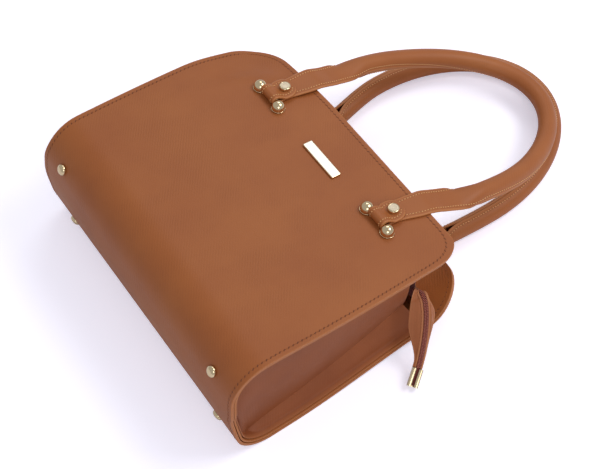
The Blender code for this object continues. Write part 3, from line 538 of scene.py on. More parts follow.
leather = make_leather("tan_leather", (166, 96, 46), (157, 87, 41), (188, 118, 66))
inner_leather = make_leather("inner_leather", (170, 98, 46), (152, 84, 40), (190, 122, 70), 0.58, 1.5)
strap_leather = make_leather("strap_leather", (170, 100, 50), (160, 91, 45), (196, 128, 76), 0.48, 0.8)
gusset_leather = make_leather("gusset_leather", (150, 82, 42), (134, 70, 35), (180, 112, 66), 0.60, 0.8)
tail_leather = make_leather("tail_leather", (176, 106, 62), (158, 90, 52), (204, 138, 92), 0.50, 0.7)
gold = make_metal("pale_gold", (228, 206, 166), 0.09)
gold_face = make_metal("satin_gold", (206, 192, 168), 0.42, 0.05)
plate_face = make_metal("brushed_plate", (250, 243, 226), 0.30, 0.06, 0.45)
gold_thread = make_thread("gold_thread", (246, 196, 136), (206, 146, 92))
tan_thread = make_thread("tan_thread", (172, 104, 58), (146, 84, 44))
# Needle slots: a dark colour that paints the shade inside the stitch holes.
hole_shade = make_plain("needle_hole", (120, 66, 38), 0.9)
coil_plastic = make_plain("zip_coil_plastic", (166, 92, 76), 0.38)
tape_cloth = make_cloth("zip_tape_cloth", (124, 50, 40), (82, 30, 24), 0.0006)
cord_cloth = make_cloth("handle_cord_cloth", (188, 172, 150), (132, 112, 92), 0.0009, 0.9)


def mesh_piece(name, points, faces, material, wears=None, closed=False):
    """An object from points in the bag's coordinates, placed in the frame's.

    wears gives its points' wear in rows, and closed says that its faces are to be turned outwards.
    """
    mesh = bpy.data.meshes.new(name)
    mesh.from_pydata([tuple(point) for point in points], [], faces)
    mesh.transform(BAG)
    mesh.update()
    mesh.materials.append(material)
    mesh.polygons.foreach_set("use_smooth", [True] * len(mesh.polygons))
    piece = bpy.data.objects.new(name, mesh)
    bpy.context.scene.collection.objects.link(piece)
    if closed:
        edit_mesh(piece, lambda mesh: bmesh.ops.recalc_face_normals(mesh, faces=mesh.faces))
    if wears:
        wear = mesh.attributes.new("rim", "FLOAT", "POINT")
        wear.data.foreach_set("value", [value for row in wears for value in row])
    return piece


def edit_mesh(piece, change):
    mesh = bmesh.new()
    mesh.from_mesh(piece.data)
    change(mesh)
    mesh.to_mesh(piece.data)
    mesh.free()


def grid_piece(name, rows, material, wears=None):
    """A sheet skinned through rows of points."""
    count = len(rows[0])
    faces = []
    for low in range(0, (len(rows) - 1) * count, count):
        faces += [(k, k + 1, k + 1 + count, k + count) for k in range(low, low + count - 1)]
    return mesh_piece(name, [point for row in rows for point in row], faces, material, wears)


def tube_faces(rings, count, first=0):
    """The faces between closed rings of count points that follow each other."""
    faces = []
    for low in range(first, first + (rings - 1) * count, count):
        for k in range(count):
            beside = low + (k + 1) % count
            faces.append((low + k, beside, beside + count, low + k + count))
    return faces


def loft(name, loops, material, wears=None):
    """A closed skin through loops of points, capped at both ends."""
    count = len(loops[0])
    end = len(loops) * count
    faces = tube_faces(len(loops), count)
    faces += [tuple(reversed(range(count))), tuple(range(end - count, end))]
    return mesh_piece(name, [point for loop in loops for point in loop], faces, material, wears, True)


def fit(piece, body, slot, *nodes):
    """Lets a piece ride on a body and hides the CAD nodes that it stands for; its slot is not used."""
    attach(piece, body)
    if nodes:
        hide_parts(*nodes)
    return piece


def thicken(piece, thickness, offset, round_off=0.0, even=True):
    """Gives a sheet its thickness and rounds its cut edges."""
    solid = piece.modifiers.new("thickness", "SOLIDIFY")
    solid.thickness = thickness
    solid.offset = offset
    solid.use_even_offset = even
    if round_off:
        bevel = piece.modifiers.new("rounded edges", "BEVEL")
        bevel.width = round_off
        bevel.segments = 3
        bevel.limit_method = "ANGLE"
        bevel.angle_limit = math.radians(50)
        bevel.harden_normals = False
    return piece


def shape_edges(piece, angle=40.0):
    """Keeps a hard piece's edges crisp where its faces turn sharply."""
    piece.data.set_sharp_from_angle(angle=math.radians(angle))
    return piece


def arc(centre, radius, start, end, steps):
    angles = [start + (end - start) * t for t in shares(steps)]
    return [centre + radius * Vector((math.cos(a), math.sin(a))) for a in angles]


def fillet(before, corner, after, radius, steps):
    """The arc that rounds the corner of an outline, as points from one tangent to the other."""
    to_before = (before - corner).normalized()
    to_after = (after - corner).normalized()
    half = to_before.angle(to_after) / 2
    reach = radius / math.tan(half)
    centre = corner + (to_before + to_after).normalized() * radius / math.sin(half)
    first = corner + to_before * reach - centre
    last = corner + to_after * reach - centre
    start = math.atan2(first.y, first.x)
    sweep = (math.atan2(last.y, last.x) - start + math.pi) % math.tau - math.pi
    return arc(centre, radius, start, start + sweep, steps)


def soften(outline, radius, steps=3):
    """The open outline with its corners rounded, as far as their sides allow."""
    points = [Vector(point) for point in outline]
    softened = [points[0]]
    for before, corner, after in zip(points, points[1:], points[2:]):
        half = (before - corner).angle(after - corner) / 2
        if math.cos(half) < 0.02:
            softened.append(corner)
            continue
        limit = 0.45 * min((before - corner).length, (after - corner).length)
        reach = min(radius / math.tan(half), limit)
        softened += fillet(before, corner, after, reach * math.tan(half), steps)
    return softened + [points[-1]]


def block(half_x, half_y, radius, steps=5):
    """A rectangle with round corners, counter-clockwise from its +X +Y corner."""
    outline = []
    for corner, (sx, sy) in enumerate(((1, 1), (-1, 1), (-1, -1), (1, -1))):
        centre = Vector((sx * (half_x - radius), sy * (half_y - radius)))
        start = math.pi / 2 * corner
        outline += arc(centre, radius, start, start + math.pi / 2, steps)
    return outline


def turned(name, profile, place, material, face=None, steps=48):
    """A turned piece from its outline as (radius, height), top first.

    face is the material of its top, out to the second radius of the outline after the middle.
    """
    rings = profile[1:-1]
    points = [Vector((0, 0, profile[0][1]))]
    for radius, height in rings:
        angles = [math.tau * k / steps for k in range(steps)]
        points += [Vector((radius * math.cos(a), radius * math.sin(a), height)) for a in angles]
    points.append(Vector((0, 0, profile[-1][1])))
    foot = len(points) - 1
    last = foot - steps
    faces = [(0, 1 + k, 1 + (k + 1) % steps) for k in range(steps)]
    faces += [(quad[0], *quad[:0:-1]) for quad in tube_faces(len(rings), steps, 1)]
    faces += [(last + k, foot, last + (k + 1) % steps) for k in range(steps)]
    piece = mesh_piece(name, [place @ point for point in points], faces, material)
    if face:
        piece.data.materials.append(face)
        slots = [1] * 2 * steps + [0] * (len(faces) - 2 * steps)
        piece.data.polygons.foreach_set("material_index", slots)
    return shape_edges(piece)


def slab(name, size, radius, levels, place, material, face=None):
    """A flat block with round corners, from levels of (inset, height). face covers its top."""
    loops = []
    for depth, height in levels:
        outline = block(size[0] / 2 - depth, size[1] / 2 - depth, max(radius - depth, 0.00025))
        loops.append([place @ Vector((p.x, p.y, height)) for p in outline])
    piece = loft(name, loops, material)
    top = piece.data.polygons[-1]
    if face:
        piece.data.materials.append(face)
        top.material_index = 1
    top.use_smooth = False
    return shape_edges(piece, 20.0)


class Threads:
    """Small round solids along paths, gathered into one mesh."""

    def __init__(self):
        self.points = []
        self.faces = []

    def capsule(self, centres, radii, across, up, sides=6):
        """A round solid along centres, with its own half widths along across and up."""
        first = len(self.points)
        angles = [math.tau * k / sides for k in range(sides)]
        for centre, (wide, high) in zip(centres, radii):
            self.points += [centre + across * wide * math.cos(a) + up * high * math.sin(a) for a in angles]
        end = len(self.points)
        self.faces += tube_faces(len(centres), sides, first)
        self.faces += [tuple(range(first + sides - 1, first - 1, -1)), tuple(range(end - sides, end))]

    def piece(self, name, material):
        return mesh_piece(name, self.points, self.faces, material, closed=True)


def along_path(points):
    """A function from arc length to a point on a path, and the path's whole length."""
    lengths = [0.0]
    for low, high in zip(points, points[1:]):
        lengths.append(lengths[-1] + (high - low).length)

    def at(distance):
        distance = min(max(distance, 0.0), lengths[-1])
        low = min(bisect_right(lengths, distance), len(points) - 1) - 1
        span = max(lengths[low + 1] - lengths[low], 1e-9)
        return points[low].lerp(points[low + 1], (distance - lengths[low]) / span)

    return at, lengths[-1]


class Sewing:
    """Stitches, and dark needle slots between them that paint the shade in the holes, in two pieces."""

    def __init__(self):
        self.threads = Threads()
        self.holes = Threads()

    def sew(self, path, beside, sign, pitch, radius, hole, slant=0.0):
        """Stitches along a path. beside is the same path a little further in on the surface.

        sign says which way the thread stands out, hole gives a needle slot's length and half
        width, and slant is how far the slots lean across the path.
        """
        at, length = along_path(path)
        at_beside, beside_length = along_path(beside)
        count = max(round(length / pitch), 1)
        step = length / count
        for i in range(count):
            start = i * step
            first = at(start + step * STITCH_MARGIN)
            last = at(start + step * (1 - STITCH_MARGIN))
            run = (last - first).normalized()
            inward = at_beside((start + step / 2) * beside_length / length) - at(start + step / 2)
            across = (inward - run * inward.dot(run)).normalized()
            up = run.cross(across) * sign
            centres = [first.lerp(last, t) + up * radius * rise for t, _, rise in STITCH_SHAPE]
            radii = [(radius * size, radius * size) for _, size, _ in STITCH_SHAPE]
            self.threads.capsule(centres, radii, across, up)
            lean = (run + across * slant).normalized()
            centres = [at(start) + lean * hole[0] * t for t, _ in HOLE_SHAPE]
            radii = [(hole[1] * size, HOLE_DEPTH) for _, size in HOLE_SHAPE]
            self.holes.capsule(centres, radii, up.cross(lean), up)

    def finish(self, name, material, body):
        fit(self.threads.piece(name + "_stitches", material), body, "leather")
        fit(self.holes.piece(name + "_needle_holes", hole_shade), body, "leather")


def front_z(y):
    """Height of the front panel's outer face above the floor."""
    return BASE_DEPTH + (MOUTH_FRONT_Z - BASE_DEPTH) * y / BODY_HEIGHT


def back_z(y):
    """The back panel lies flat near the base and lifts towards the handle hardware under it."""
    return BACK_LIFT * (max(y - BACK_FLAT_TO, 0.0) / (ROD_Y - BACK_FLAT_TO)) ** 2


ZIP_Z = (front_z(CLOSURE_Y) + back_z(CLOSURE_Y)) / 2


def half_width(y, margin=0.0):
    """Half the body's width at height y, drawn in by a margin all round its outline."""
    bowed = min(max(y, 0.0), SHOULDER)
    half = BODY_WIDTH / 2 + SIDE_BOW * math.sin(math.pi * bowed / BODY_HEIGHT)
    if y <= SHOULDER:
        return half - margin
    radius = CORNER_RADIUS - margin
    return half - CORNER_RADIUS + math.sqrt(radius**2 - min(y - SHOULDER, radius) ** 2)


def squared(y):
    """How many times as far out the front's right corner reaches at height y as a round one."""
    across, up = SQUARE_CORNER
    rise = share_of(y, BODY_HEIGHT - up, BODY_HEIGHT)
    reach = half_width(SHOULDER) - across + across * math.sqrt(1 - rise**2)
    return max(reach / half_width(y), 1.0)


def settled(point, is_front):
    """Where a point of the front or the back half of the soft body has come to lie."""
    x, y, z = point
    up = share_of(y, 0.0, BODY_HEIGHT)
    if is_front:
        x *= squared(y) if x > 0 else 1.0
        reach = share_of(-x, *DROOP_ACROSS) ** 1.5
        start = DROOP_START - DROOP_LOWERED * blend(-x, *DROOP_LOWERED_ACROSS)
        bend = -FRONT_LEFT_DROOP * reach * blend(y, start, BODY_HEIGHT)
        over_base, over_panel = DRAWN_IN_HEIGHTS
        held = blend(max((z - BASE_MIDDLE_Z) / over_base, y / over_panel))
        x = x * (1 - FRONT_DRAWN_IN * held) - FRONT_LEAN * up
        return Vector((x, y - abs(bend) * BEND_SHORTENS, z + bend))
    rise = min(max((y - CURL_START) / (BODY_HEIGHT - CURL_START), 0.0), CURL_POWER)
    most = BACK_RIGHT_CURL if x > 0 else BACK_LEFT_CURL
    bend = most * blend(abs(x), *CURL_ACROSS) * rise**CURL_POWER
    pulled = y + BACK_PULLED_UP * max(y - BACK_FLAT_TO, 0.0) / (BODY_HEIGHT - BACK_FLAT_TO)
    wide = 1 - SIDE_BOW * math.sin(math.pi * up) / (BODY_WIDTH / 2)
    low = blend(z, BASE_MIDDLE_Z, BASE_MIDDLE_Z - BACK_SPREAD_BELOW)
    wide += BACK_SPREAD * low * (1 - blend(y, *BACK_SPREAD_ENDS))
    wide += BACK_RIGHT_OUT * blend(y, *BACK_RIGHT_OUT_UP) if x > 0 else 0.0
    return Vector((x * wide, pulled - abs(bend) * BEND_SHORTENS, z + back_z(pulled) - back_z(y) + bend))


def base_outline():
    """The rounded base, from the back panel round to the front panel, as (y, z)."""
    back_top = Vector((BACK_FLAT_TO, 0.0))
    rear = Vector((BASE_REAR_Y, 0.0))
    middle = Vector((BASE_MIDDLE_Y, BASE_MIDDLE_Z))
    front = Vector((BASE_FRONT_Y, front_z(BASE_FRONT_Y)))
    front_top = Vector((BODY_HEIGHT, front_z(BODY_HEIGHT)))
    return (
        fillet(back_top, rear, middle, REAR_BEND_RADIUS, STEPS_BEND)
        + fillet(rear, middle, front, MIDDLE_BEND_RADIUS, STEPS_BEND // 2)
        + fillet(middle, front, front_top, FRONT_BEND_RADIUS, STEPS_BEND)
    )


def panel_outline(panel_z, start, top):
    """A panel between two heights, with close rows in its round corners, as (y, z)."""
    straight = min(top, SHOULDER) - start
    steps = max(round(STEPS_PANEL * straight / BODY_HEIGHT), 1)
    heights = [start + straight * i / steps for i in range(steps)]
    if top > SHOULDER:
        angles = [math.pi / 2 * i / STEPS_CORNER for i in range(STEPS_CORNER)]
        heights += [SHOULDER + (top - SHOULDER) * math.sin(a) for a in angles]
    return [Vector((y, panel_z(y))) for y in heights + [top]]


def wall_outline(margin=0.0):
    """The U of the body: down the back from the mouth, round the base and up the front."""
    base = base_outline()
    top = BODY_HEIGHT - margin
    back = panel_outline(back_z, base[0].x + BASE_ENDS, top)
    front = panel_outline(front_z, base[-1].x + BASE_ENDS, top)
    return back[::-1] + base + front


def inset(outline, depth):
    """The outline moved towards the inside of the U by depth, with mitred corners."""
    moved = []
    for i, point in enumerate(outline):
        sides = (point - outline[max(i - 1, 0)], outline[min(i + 1, len(outline) - 1)] - point)
        normals = [Vector((side.y, -side.x)).normalized() for side in sides if side.length > 1e-7]
        middle = (normals[0] + normals[-1]).normalized()
        moved.append(point + middle * depth / middle.dot(normals[0]))
    return moved


def on_front(index, outline):
    """Whether a point of the U belongs to its front half."""
    return index > len(outline) / 2


def sheet_rows(outline, depth, margin, places):
    """Rows of a sheet that spans the body's width at a depth inside the outline."""
    rows = []
    for i, (outer, inner) in enumerate(zip(outline, inset(outline, depth))):
        half = half_width(outer.x, margin)
        front = on_front(i, outline)
        rows.append([settled((half * place, inner.x, inner.y), front) for place in places])
    return rows


def wall_layer(name, material, margin, depth, thickness, round_off):
    """One layer of the wall, a U of leather worn pale along its cut edges."""
    places = crowded(STEPS_SIDE, SIDE_CROWDING)
    outline = wall_outline(margin)
    wears = []
    for outer in outline:
        half = half_width(outer.x, margin)
        edges = [min(half * (1 - abs(place)), BODY_HEIGHT - outer.x) for place in places]
        wears.append([1 - blend(edge / WORN_EDGE) for edge in edges])
    rows = sheet_rows(outline, depth, margin, places)
    return thicken(grid_piece(name, rows, material, wears), thickness, -1.0, round_off)


def build_walls():
    """The outer leather wrap and the leather that faces it inside, with a groove between them."""
    wrap = wall_layer("leather_wrap", leather, 0.0, 0.0, OUTER_LEATHER, OUTER_ROUNDED)
    fit(wrap, "bag", "leather", "outer_wrap", "front_board", "back_board", "base_board")
    layer = (INNER_MARGIN, OUTER_LEATHER + SEAM, INNER_LEATHER, INNER_ROUNDED)
    inner = wall_layer("inner_facing", inner_leather, *layer)
    fit(inner, "bag", "inner_leather", "front_facing", "back_facing", "lining")


def edge_loop(margin, depth):
    """A closed path round the wall at a margin from its edges, at a depth inside its face."""
    places = [1 - 2 * t for t in shares(ACROSS_STEPS)]
    rows = sheet_rows(wall_outline(margin), depth, margin, places)
    right = [row[0] for row in rows]
    left = [row[-1] for row in rows]
    return right + rows[-1][1:-1] + left[::-1] + rows[0][-2:0:-1] + right[:1]


def build_edge_stitching():
    """Stitches round the lips of the wall, on its outer face and through to its inner one."""
    sewing = Sewing()
    for depth, sign in ((0.0, 1.0), (WALL + EDGE_INNER_LIFT, -1.0)):
        line = edge_loop(EDGE_STITCH_IN, depth)
        sewing.sew(line, edge_loop(EDGE_STITCH_IN + EDGE_BESIDE, depth), sign, *EDGE_STITCH)
    sewing.finish("edge", tan_thread, "bag")


def gusset_row(outer, wall):
    """A row of a gusset on the +X side: (point, share of the way from the wall to the crease)."""
    edge = half_width(outer.x)
    height = max(outer.x, GUSSET_CREASE_LOW)
    share = (height - GUSSET_CREASE_LOW) / (GUSSET_TOP_Y - GUSSET_CREASE_LOW)
    shallow, deep = GUSSET_FOLD
    fold = shallow + (deep - shallow) * share
    low, high = GUSSET_CREASE_DEPTH
    depth = low + (high - low) * share**GUSSET_CREASE_POWER
    z = back_z(height) + (front_z(height) - back_z(height)) * depth
    crease = Vector((half_width(height) - LIP - fold, height, z))
    root = Vector((edge - LIP, wall.x, wall.y))
    bend = root + Vector((GUSSET_ROUND, 0, 0))
    first = root + (crease - root).normalized() * GUSSET_ROUND
    points = [(Vector((edge - FLANGE_SET_BACK, wall.x, wall.y)), 0.0), (bend, 0.0)]
    for t in GUSSET_ROUND_SHARES:
        points.append((bend * (1 - t) ** 2 + root * 2 * t * (1 - t) + first * t * t, 0.02 * t))
    bulge = min((crease - first).length * GUSSET_BULGE, GUSSET_SLACK)
    for share in shares(GUSSET_STEPS, 1):
        t = 1 - (1 - share) ** GUSSET_CROWDING
        spot = first.lerp(crease, t)
        wave = sum(noise.noise(spot * scale) * size for scale, size in GUSSET_WAVES)
        spot.x += (bulge + wave) * math.sin(math.pi * t)
        points.append((spot, t))
    return points


def build_gussets():
    """The folded leather sides, sewn to the wall's lips, with a soft bulge and a sharp crease."""
    outline = wall_outline(BODY_HEIGHT - GUSSET_TOP_Y)
    deep = inset(outline, WALL + SEAM)
    for side, sign in (("right", 1.0), ("left", -1.0)):
        rows = []
        for i, (outer, wall) in enumerate(zip(outline, deep)):
            row = []
            for spot, t in gusset_row(outer, wall):
                spot.x *= sign
                moved = settled(spot, on_front(i, outline)) - spot
                drift = Vector((settled(spot, True).x - spot.x, 0, 0)) / 2
                row.append(spot + moved * (1 - t) + drift * t)
            rows.append(row)
        wears = [[1.0, 0.5] + [0.0] * (len(row) - 3) + [0.5] for row in rows]
        piece = grid_piece(f"gusset_leather_{side}", rows, gusset_leather, wears)
        edit_mesh(piece, lambda mesh: bmesh.ops.remove_doubles(mesh, verts=mesh.verts, dist=WELD_WITHIN))
        thicken(piece, GUSSET_LEATHER, sign, GUSSET_ROUNDED, even=False)
        fit(piece, "bag", "inner_leather", "gusset_" + side, "lining_" + side)


def closure_profile(panel_z, toward):
    """A closure strip's section as (y, z, share of the wall's settling), edge of flange first."""
    low = CLOSURE_Y - CLOSURE_FLANGE
    depth = WALL + GAP
    corners = [
        (low, panel_z(low) + toward * depth),
        (CLOSURE_Y, panel_z(CLOSURE_Y) + toward * depth),
        (CLOSURE_Y, ZIP_Z - toward * ZIP_SLOT / 2),
    ]
    outline = soften(corners, CLOSURE_BEND, 5)
    spots = []
    for start, end in zip(outline, outline[1:]):
        steps = max(round((end - start).length / CLOSURE_ROW), 1)
        spots += [start.lerp(end, i / steps) for i in range(steps)]
    spots.append(outline[-1])
    profile = []
    for spot in spots:
        share = 1 - share_of(spot.y, spots[0].y, spots[-1].y)
        profile.append((spot.x - CLOSURE_SAG * math.sin(math.pi * share), spot.y, share))
    return profile


def build_closure():
    """The recessed zip top: two sewn leather strips, two tapes and a coil of two halves."""
    chain_from = -SLIDER_START - SLIDER_LENGTH / 2
    sewing = Sewing()
    for name, panel_z, toward in (("front", front_z, -1.0), ("back", back_z, 1.0)):
        rows = []
        for y, z, share in closure_profile(panel_z, toward):
            row = []
            for t in shares(CLOSURE_STEPS):
                spot = Vector((CLOSURE_HALF_LENGTH * (2 * t - 1), y, z))
                moved = settled(spot, toward < 0) - spot
                scale, size = CLOSURE_WAVE
                wave = noise.noise(Vector((spot.x * scale, z * scale, toward))) * size
                row.append(spot + moved * share + Vector((0, wave * math.sin(math.pi * share), 0)))
            rows.append(row)
        wears = [[0.0] * len(row) for row in rows[1:]] + [[1.0] * (CLOSURE_STEPS + 1)]
        strip = grid_piece(name + "_closure_leather", rows, inner_leather, wears)
        fit(thicken(strip, FACING, toward, FACING_ROUNDED), "bag", "inner_leather", name + "_closure_strip")
        for back in CLOSURE_SEWN_ROWS:
            sewing.sew(rows[-back], rows[-back - 1], -toward, *CLOSURE_STITCH)
        away = Vector((0, 0, -toward))
        spot = Vector((0, TAPE_TOP - TAPE, ZIP_Z)) + away * (CHAIN_SPLIT + TAPE_WIDTH) / 2
        place = Matrix.Translation(spot) @ Matrix.Rotation(-math.pi / 2, 4, "X")
        levels = ((0.0, 0.0), (0.0, TAPE * 0.7), (TAPE * 0.3, TAPE))
        size = (2 * CLOSURE_HALF_LENGTH, TAPE_WIDTH)
        tape = slab(name + "_woven_tape", size, 0.0004, levels, place, tape_cloth)
        fit(tape, "bag", "tape", name + "_zip_tape")
        coil = Threads()
        for distance in coil_places(CLOSURE_HALF_LENGTH - chain_from, toward > 0):
            spot = Vector((chain_from + distance, TAPE_TOP + GAP, ZIP_Z))
            coil_tooth(coil, spot, Vector((1, 0, 0)), Vector((0, 1, 0)), away)
        fit(coil.piece(name + "_zip_coil", coil_plastic), "bag", "coil", name + "_zip_chain")
    sewing.finish("closure", gold_thread, "bag")


def coil_places(length, staggered):
    """How far along one half of a zip its teeth lie. The other half's lie between them."""
    return [(i + 0.5 * staggered) * COIL_PITCH for i in range(int(length / COIL_PITCH))]


def coil_tooth(coil, point, run, normal, away, reach=1.0):
    """One turn of a zip's coil: a hoop of round wire from its tape to just past the split.

    reach says how far it spans, as a share of the closure's own coil.
    """
    inner = -COIL_PAST_SPLIT
    outer = (CHAIN_SPLIT / 2 + CHAIN_WIDTH) * reach
    hoop = [(outer, 0.30), (outer * 0.7, 0.62), (inner + 0.0010, 0.70)]
    hoop += [(inner, 0.35), (inner + 0.0012, 0.22)]
    centres = [point + away * u + normal * (CHAIN_THICKNESS * v) for u, v in hoop]
    radii = [(COIL_WIRE * size, COIL_WIRE * size * 0.8) for size in COIL_WIRE_SIZES]
    coil.capsule(centres, radii, run, normal)


def pull_stations():
    """The zip pull's curl, neck and plate as (x, y, width), from its curled end to its round one."""
    curl = PULL_PIN_RADIUS + GAP + PULL_THICKNESS / 2
    neck = PULL_NECK - GAP
    neck_to = SLIDER_LENGTH / 2 + 2 * GAP
    reach = PULL_WIDTH / 2
    body_to = PULL_LENGTH - reach
    spots = [(*p, neck) for p in arc(Vector((0, 0)), curl, *PULL_CURL, 20)]
    spots += [(neck_to * t, -curl, neck) for t in shares(4, 1)]
    for t in shares(8, 1):
        spots.append((neck_to + PULL_WIDTH * t, -curl, neck + (PULL_WIDTH - neck) * blend(t)))
    for t in shares(12):
        a = math.pi / 2 * t
        spots.append((body_to + reach * math.sin(a), -curl, max(2 * reach * math.cos(a), 0.0006)))
    return spots


def build_slider():
    """The slider on the coil, its pin, and the pull curled round the pin."""
    top = TAPE_TOP + GAP + CHAIN_THICKNESS + 2 * GAP
    bottom = TAPE_TOP - TAPE - 2 * GAP
    pin_y = top + SLIDER_PLATE + PULL_PIN_HEIGHT
    place = Matrix.Translation((-SLIDER_START, 0, ZIP_Z))
    at_pin = Matrix.Translation((-SLIDER_START, pin_y, ZIP_Z))
    outline = []
    for t in shares(24):
        swell = 0.70 + 0.30 * math.sin(math.pi * min(t * 1.15, 1.0)) ** 0.6
        outline.append((SLIDER_LENGTH * (t - 0.5), SLIDER_WIDTH / 2 * swell))
    for name, height, up, nodes in (("upper", top, 1.0, ("zip_slider",)), ("lower", bottom, -1.0, ())):
        loops = []
        for shrink, lift in SLIDER_LEVELS:
            y = height + up * SLIDER_PLATE * lift
            loop = [place @ Vector((x, y, half - shrink)) for x, half in outline]
            loop += [place @ Vector((x, y, shrink - half)) for x, half in reversed(outline)]
            loops.append(loop)
        fit(shape_edges(loft(f"slider_{name}_plate", loops, gold)), "slider", "gold", *nodes)
    posts = Threads()
    sideways = (Vector((1, 0, 0)), Vector((0, 0, 1)))
    ear_z = PULL_NECK / 2 + GAP + SLIDER_PLATE / 2
    ear_foot = top + SLIDER_PLATE * 0.8
    for z in (-ear_z, ear_z):
        heights = [ear_foot + (pin_y - ear_foot) * height for height, _ in EAR_SHAPE]
        centres = [place @ Vector((0, y, z)) for y in heights]
        radii = [(long * EAR_LENGTH, SLIDER_PLATE * 0.5) for _, long in EAR_SHAPE]
        posts.capsule(centres, radii, *sideways, 20)
    web_ends = (bottom - SLIDER_WEB_SUNK, top + SLIDER_WEB_SUNK)
    centres = [place @ Vector((SLIDER_WEB_X, y, 0)) for y in web_ends]
    posts.capsule(centres, [SLIDER_WEB] * 2, *sideways, 12)
    fit(posts.piece("slider_ears", gold), "slider", "gold")
    half = PULL_NECK / 2 + GAP + SLIDER_PLATE * 1.1
    pin = [(0, half), (PULL_PIN_RADIUS, half), (PULL_PIN_RADIUS, -half), (0, -half)]
    fit(turned("slider_cross_pin", pin, at_pin, gold, steps=20), "slider", "gold", "pull_pin")
    spots = pull_stations()
    loops = []
    for (x, y, width), run in zip(spots, runs([Vector(spot[:2]) for spot in spots])):
        normal = Vector((-run.y, run.x)).normalized()
        outline = block(width / 2, PULL_THICKNESS / 2, min(PULL_EDGE, width * 0.3), 3)
        loops.append([at_pin @ Vector((x + normal.x * p.y, y + normal.y * p.y, p.x)) for p in outline])
    fit(shape_edges(loft("flat_zip_pull", loops, gold)), "pull", "gold", "zip_pull")


def tail_stations():
    """Places along the zip tail: (share, point, direction, outward normal, front side)."""
    root = Vector((CLOSURE_HALF_LENGTH + TAIL_GAP, TAPE_TOP, ZIP_Z))
    tip = Vector(TAIL_TIP)
    handles = (root, root + Vector(TAIL_ROOT_RUN), tip - Vector(TAIL_TIP_RUN), tip)
    legs = [high - low for low, high in zip(handles, handles[1:])]
    stations = []
    for t in shares(TAIL_STEPS):
        weights = ((1 - t) ** 3, 3 * t * (1 - t) ** 2, 3 * t * t * (1 - t), t**3)
        point = sum((w * p for w, p in zip(weights, handles)), Vector((0, 0, 0)))
        run = ((1 - t) ** 2 * legs[0] + 2 * t * (1 - t) * legs[1] + t * t * legs[2]).normalized()
        facing = Vector((0, 1, 0)).lerp(Vector(TAIL_FACING), blend(t / TAIL_TURN_BY))
        normal = (facing - run * facing.dot(run)).normalized()
        stations.append((t, point, run, normal, run.cross(normal)))
    return stations


def opened(t, opens_by):
    """How much of its width a part of the tail has at a share of its length, narrow at its root."""
    return TAIL_ROOT_SHARE + (1 - TAIL_ROOT_SHARE) * blend(t / opens_by)


def tail_width(name, t):
    """How far a leaf of the tail reaches from the split: widest near its middle."""
    root, widest, widens_from, widest_at, narrow_at = TAIL_WIDTHS[name]
    if t < widest_at:
        spread = blend(t, widens_from, widest_at)
        return (root + (widest - root) * spread) * opened(t, TAIL_LEAF_OPENS_BY)
    return widest + (TAIL_HALF_TIP - widest) * blend(t, widest_at, narrow_at)


def leaf_section(name, sign, slot, station):
    """A leaf's closed section at a place along the tail, its wear, its upper face and its width."""
    t, point, run, normal, front = station
    start, end = TAIL_FOLDS[name]
    angle = math.radians(start + (end - start) * t)
    root = point + front * sign * slot + normal * LEAF_LIFT
    wide = max(tail_width(name, t) - slot, FACING)
    spots = []
    for u in shares(LEAF_STEPS):
        bent = angle * (0.35 + 0.65 * blend(u * 1.6))
        spots.append(root + (front * sign * math.cos(bent) - normal * math.sin(bent)) * wide * u)
    outs, wear = [], []
    for u, chord in zip(shares(LEAF_STEPS), runs(spots)):
        out = chord.cross(run).normalized() * FACING * 0.55
        outs.append(-out if out.dot(normal) < 0 else out)
        wear.append(1 - blend(min(u, 1 - u) * wide / WORN_EDGE))
    upper = [spot + out for spot, out in zip(spots, outs)]
    lower = [spot - out for spot, out in zip(spots, outs)]
    tip = spots[-1] + (spots[-1] - spots[-2]).normalized() * FACING * 0.5
    foot = spots[0] + (spots[0] - spots[1]).normalized() * FACING * 0.5
    tips = [tip + outs[-1] * 0.5, tip - outs[-1] * 0.5]
    feet = [foot - outs[0] * 0.5, foot + outs[0] * 0.5]
    wears = wear + [1.0, 1.0] + wear[::-1] + [1.0, 1.0]
    return upper + tips + lower[::-1] + feet, wears, upper, wide


def build_leaves(bare, slot):
    """The two sewn leaves of the tail and the coil along the edge of each."""
    sewing = Sewing()
    at, length = along_path([point for _, point, _, _, _ in bare])
    for name, sign in (("front", 1.0), ("back", -1.0)):
        loops, wears, line, beside = [], [], [], []
        for station in bare:
            loop, wear, upper, wide = leaf_section(name, sign, slot, station)
            loops.append(loop)
            wears.append(wear)
            if wide > LEAF_SEWN_WIDTH:
                on_leaf = along_path(upper)[0]
                line.append(on_leaf(LEAF_STITCH_IN))
                beside.append(on_leaf(LEAF_STITCH_IN + BESIDE))
        leaf = loft(f"tail_leather_{name}", loops, tail_leather, wears)
        fit(leaf, "zip_tail", "leather", "tail_leaf_" + name)
        sewing.sew(line, beside, -sign, *LEAF_STITCH)
        coil = Threads()
        for distance in coil_places(length, sign > 0):
            share = distance / length * (len(bare) - 1)
            low = min(int(share), len(bare) - 2)
            pairs = zip(bare[low][2:], bare[low + 1][2:])
            run, normal, side = (a.lerp(b, share - int(share)).normalized() for a, b in pairs)
            coil_tooth(coil, at(distance) + normal * GAP, run, normal, side * sign, TAIL_COIL)
        fit(coil.piece(f"tail_coil_{name}", coil_plastic), "zip_tail", "coil", "tail_chain_" + name)
    sewing.finish("tail", tan_thread, "zip_tail")


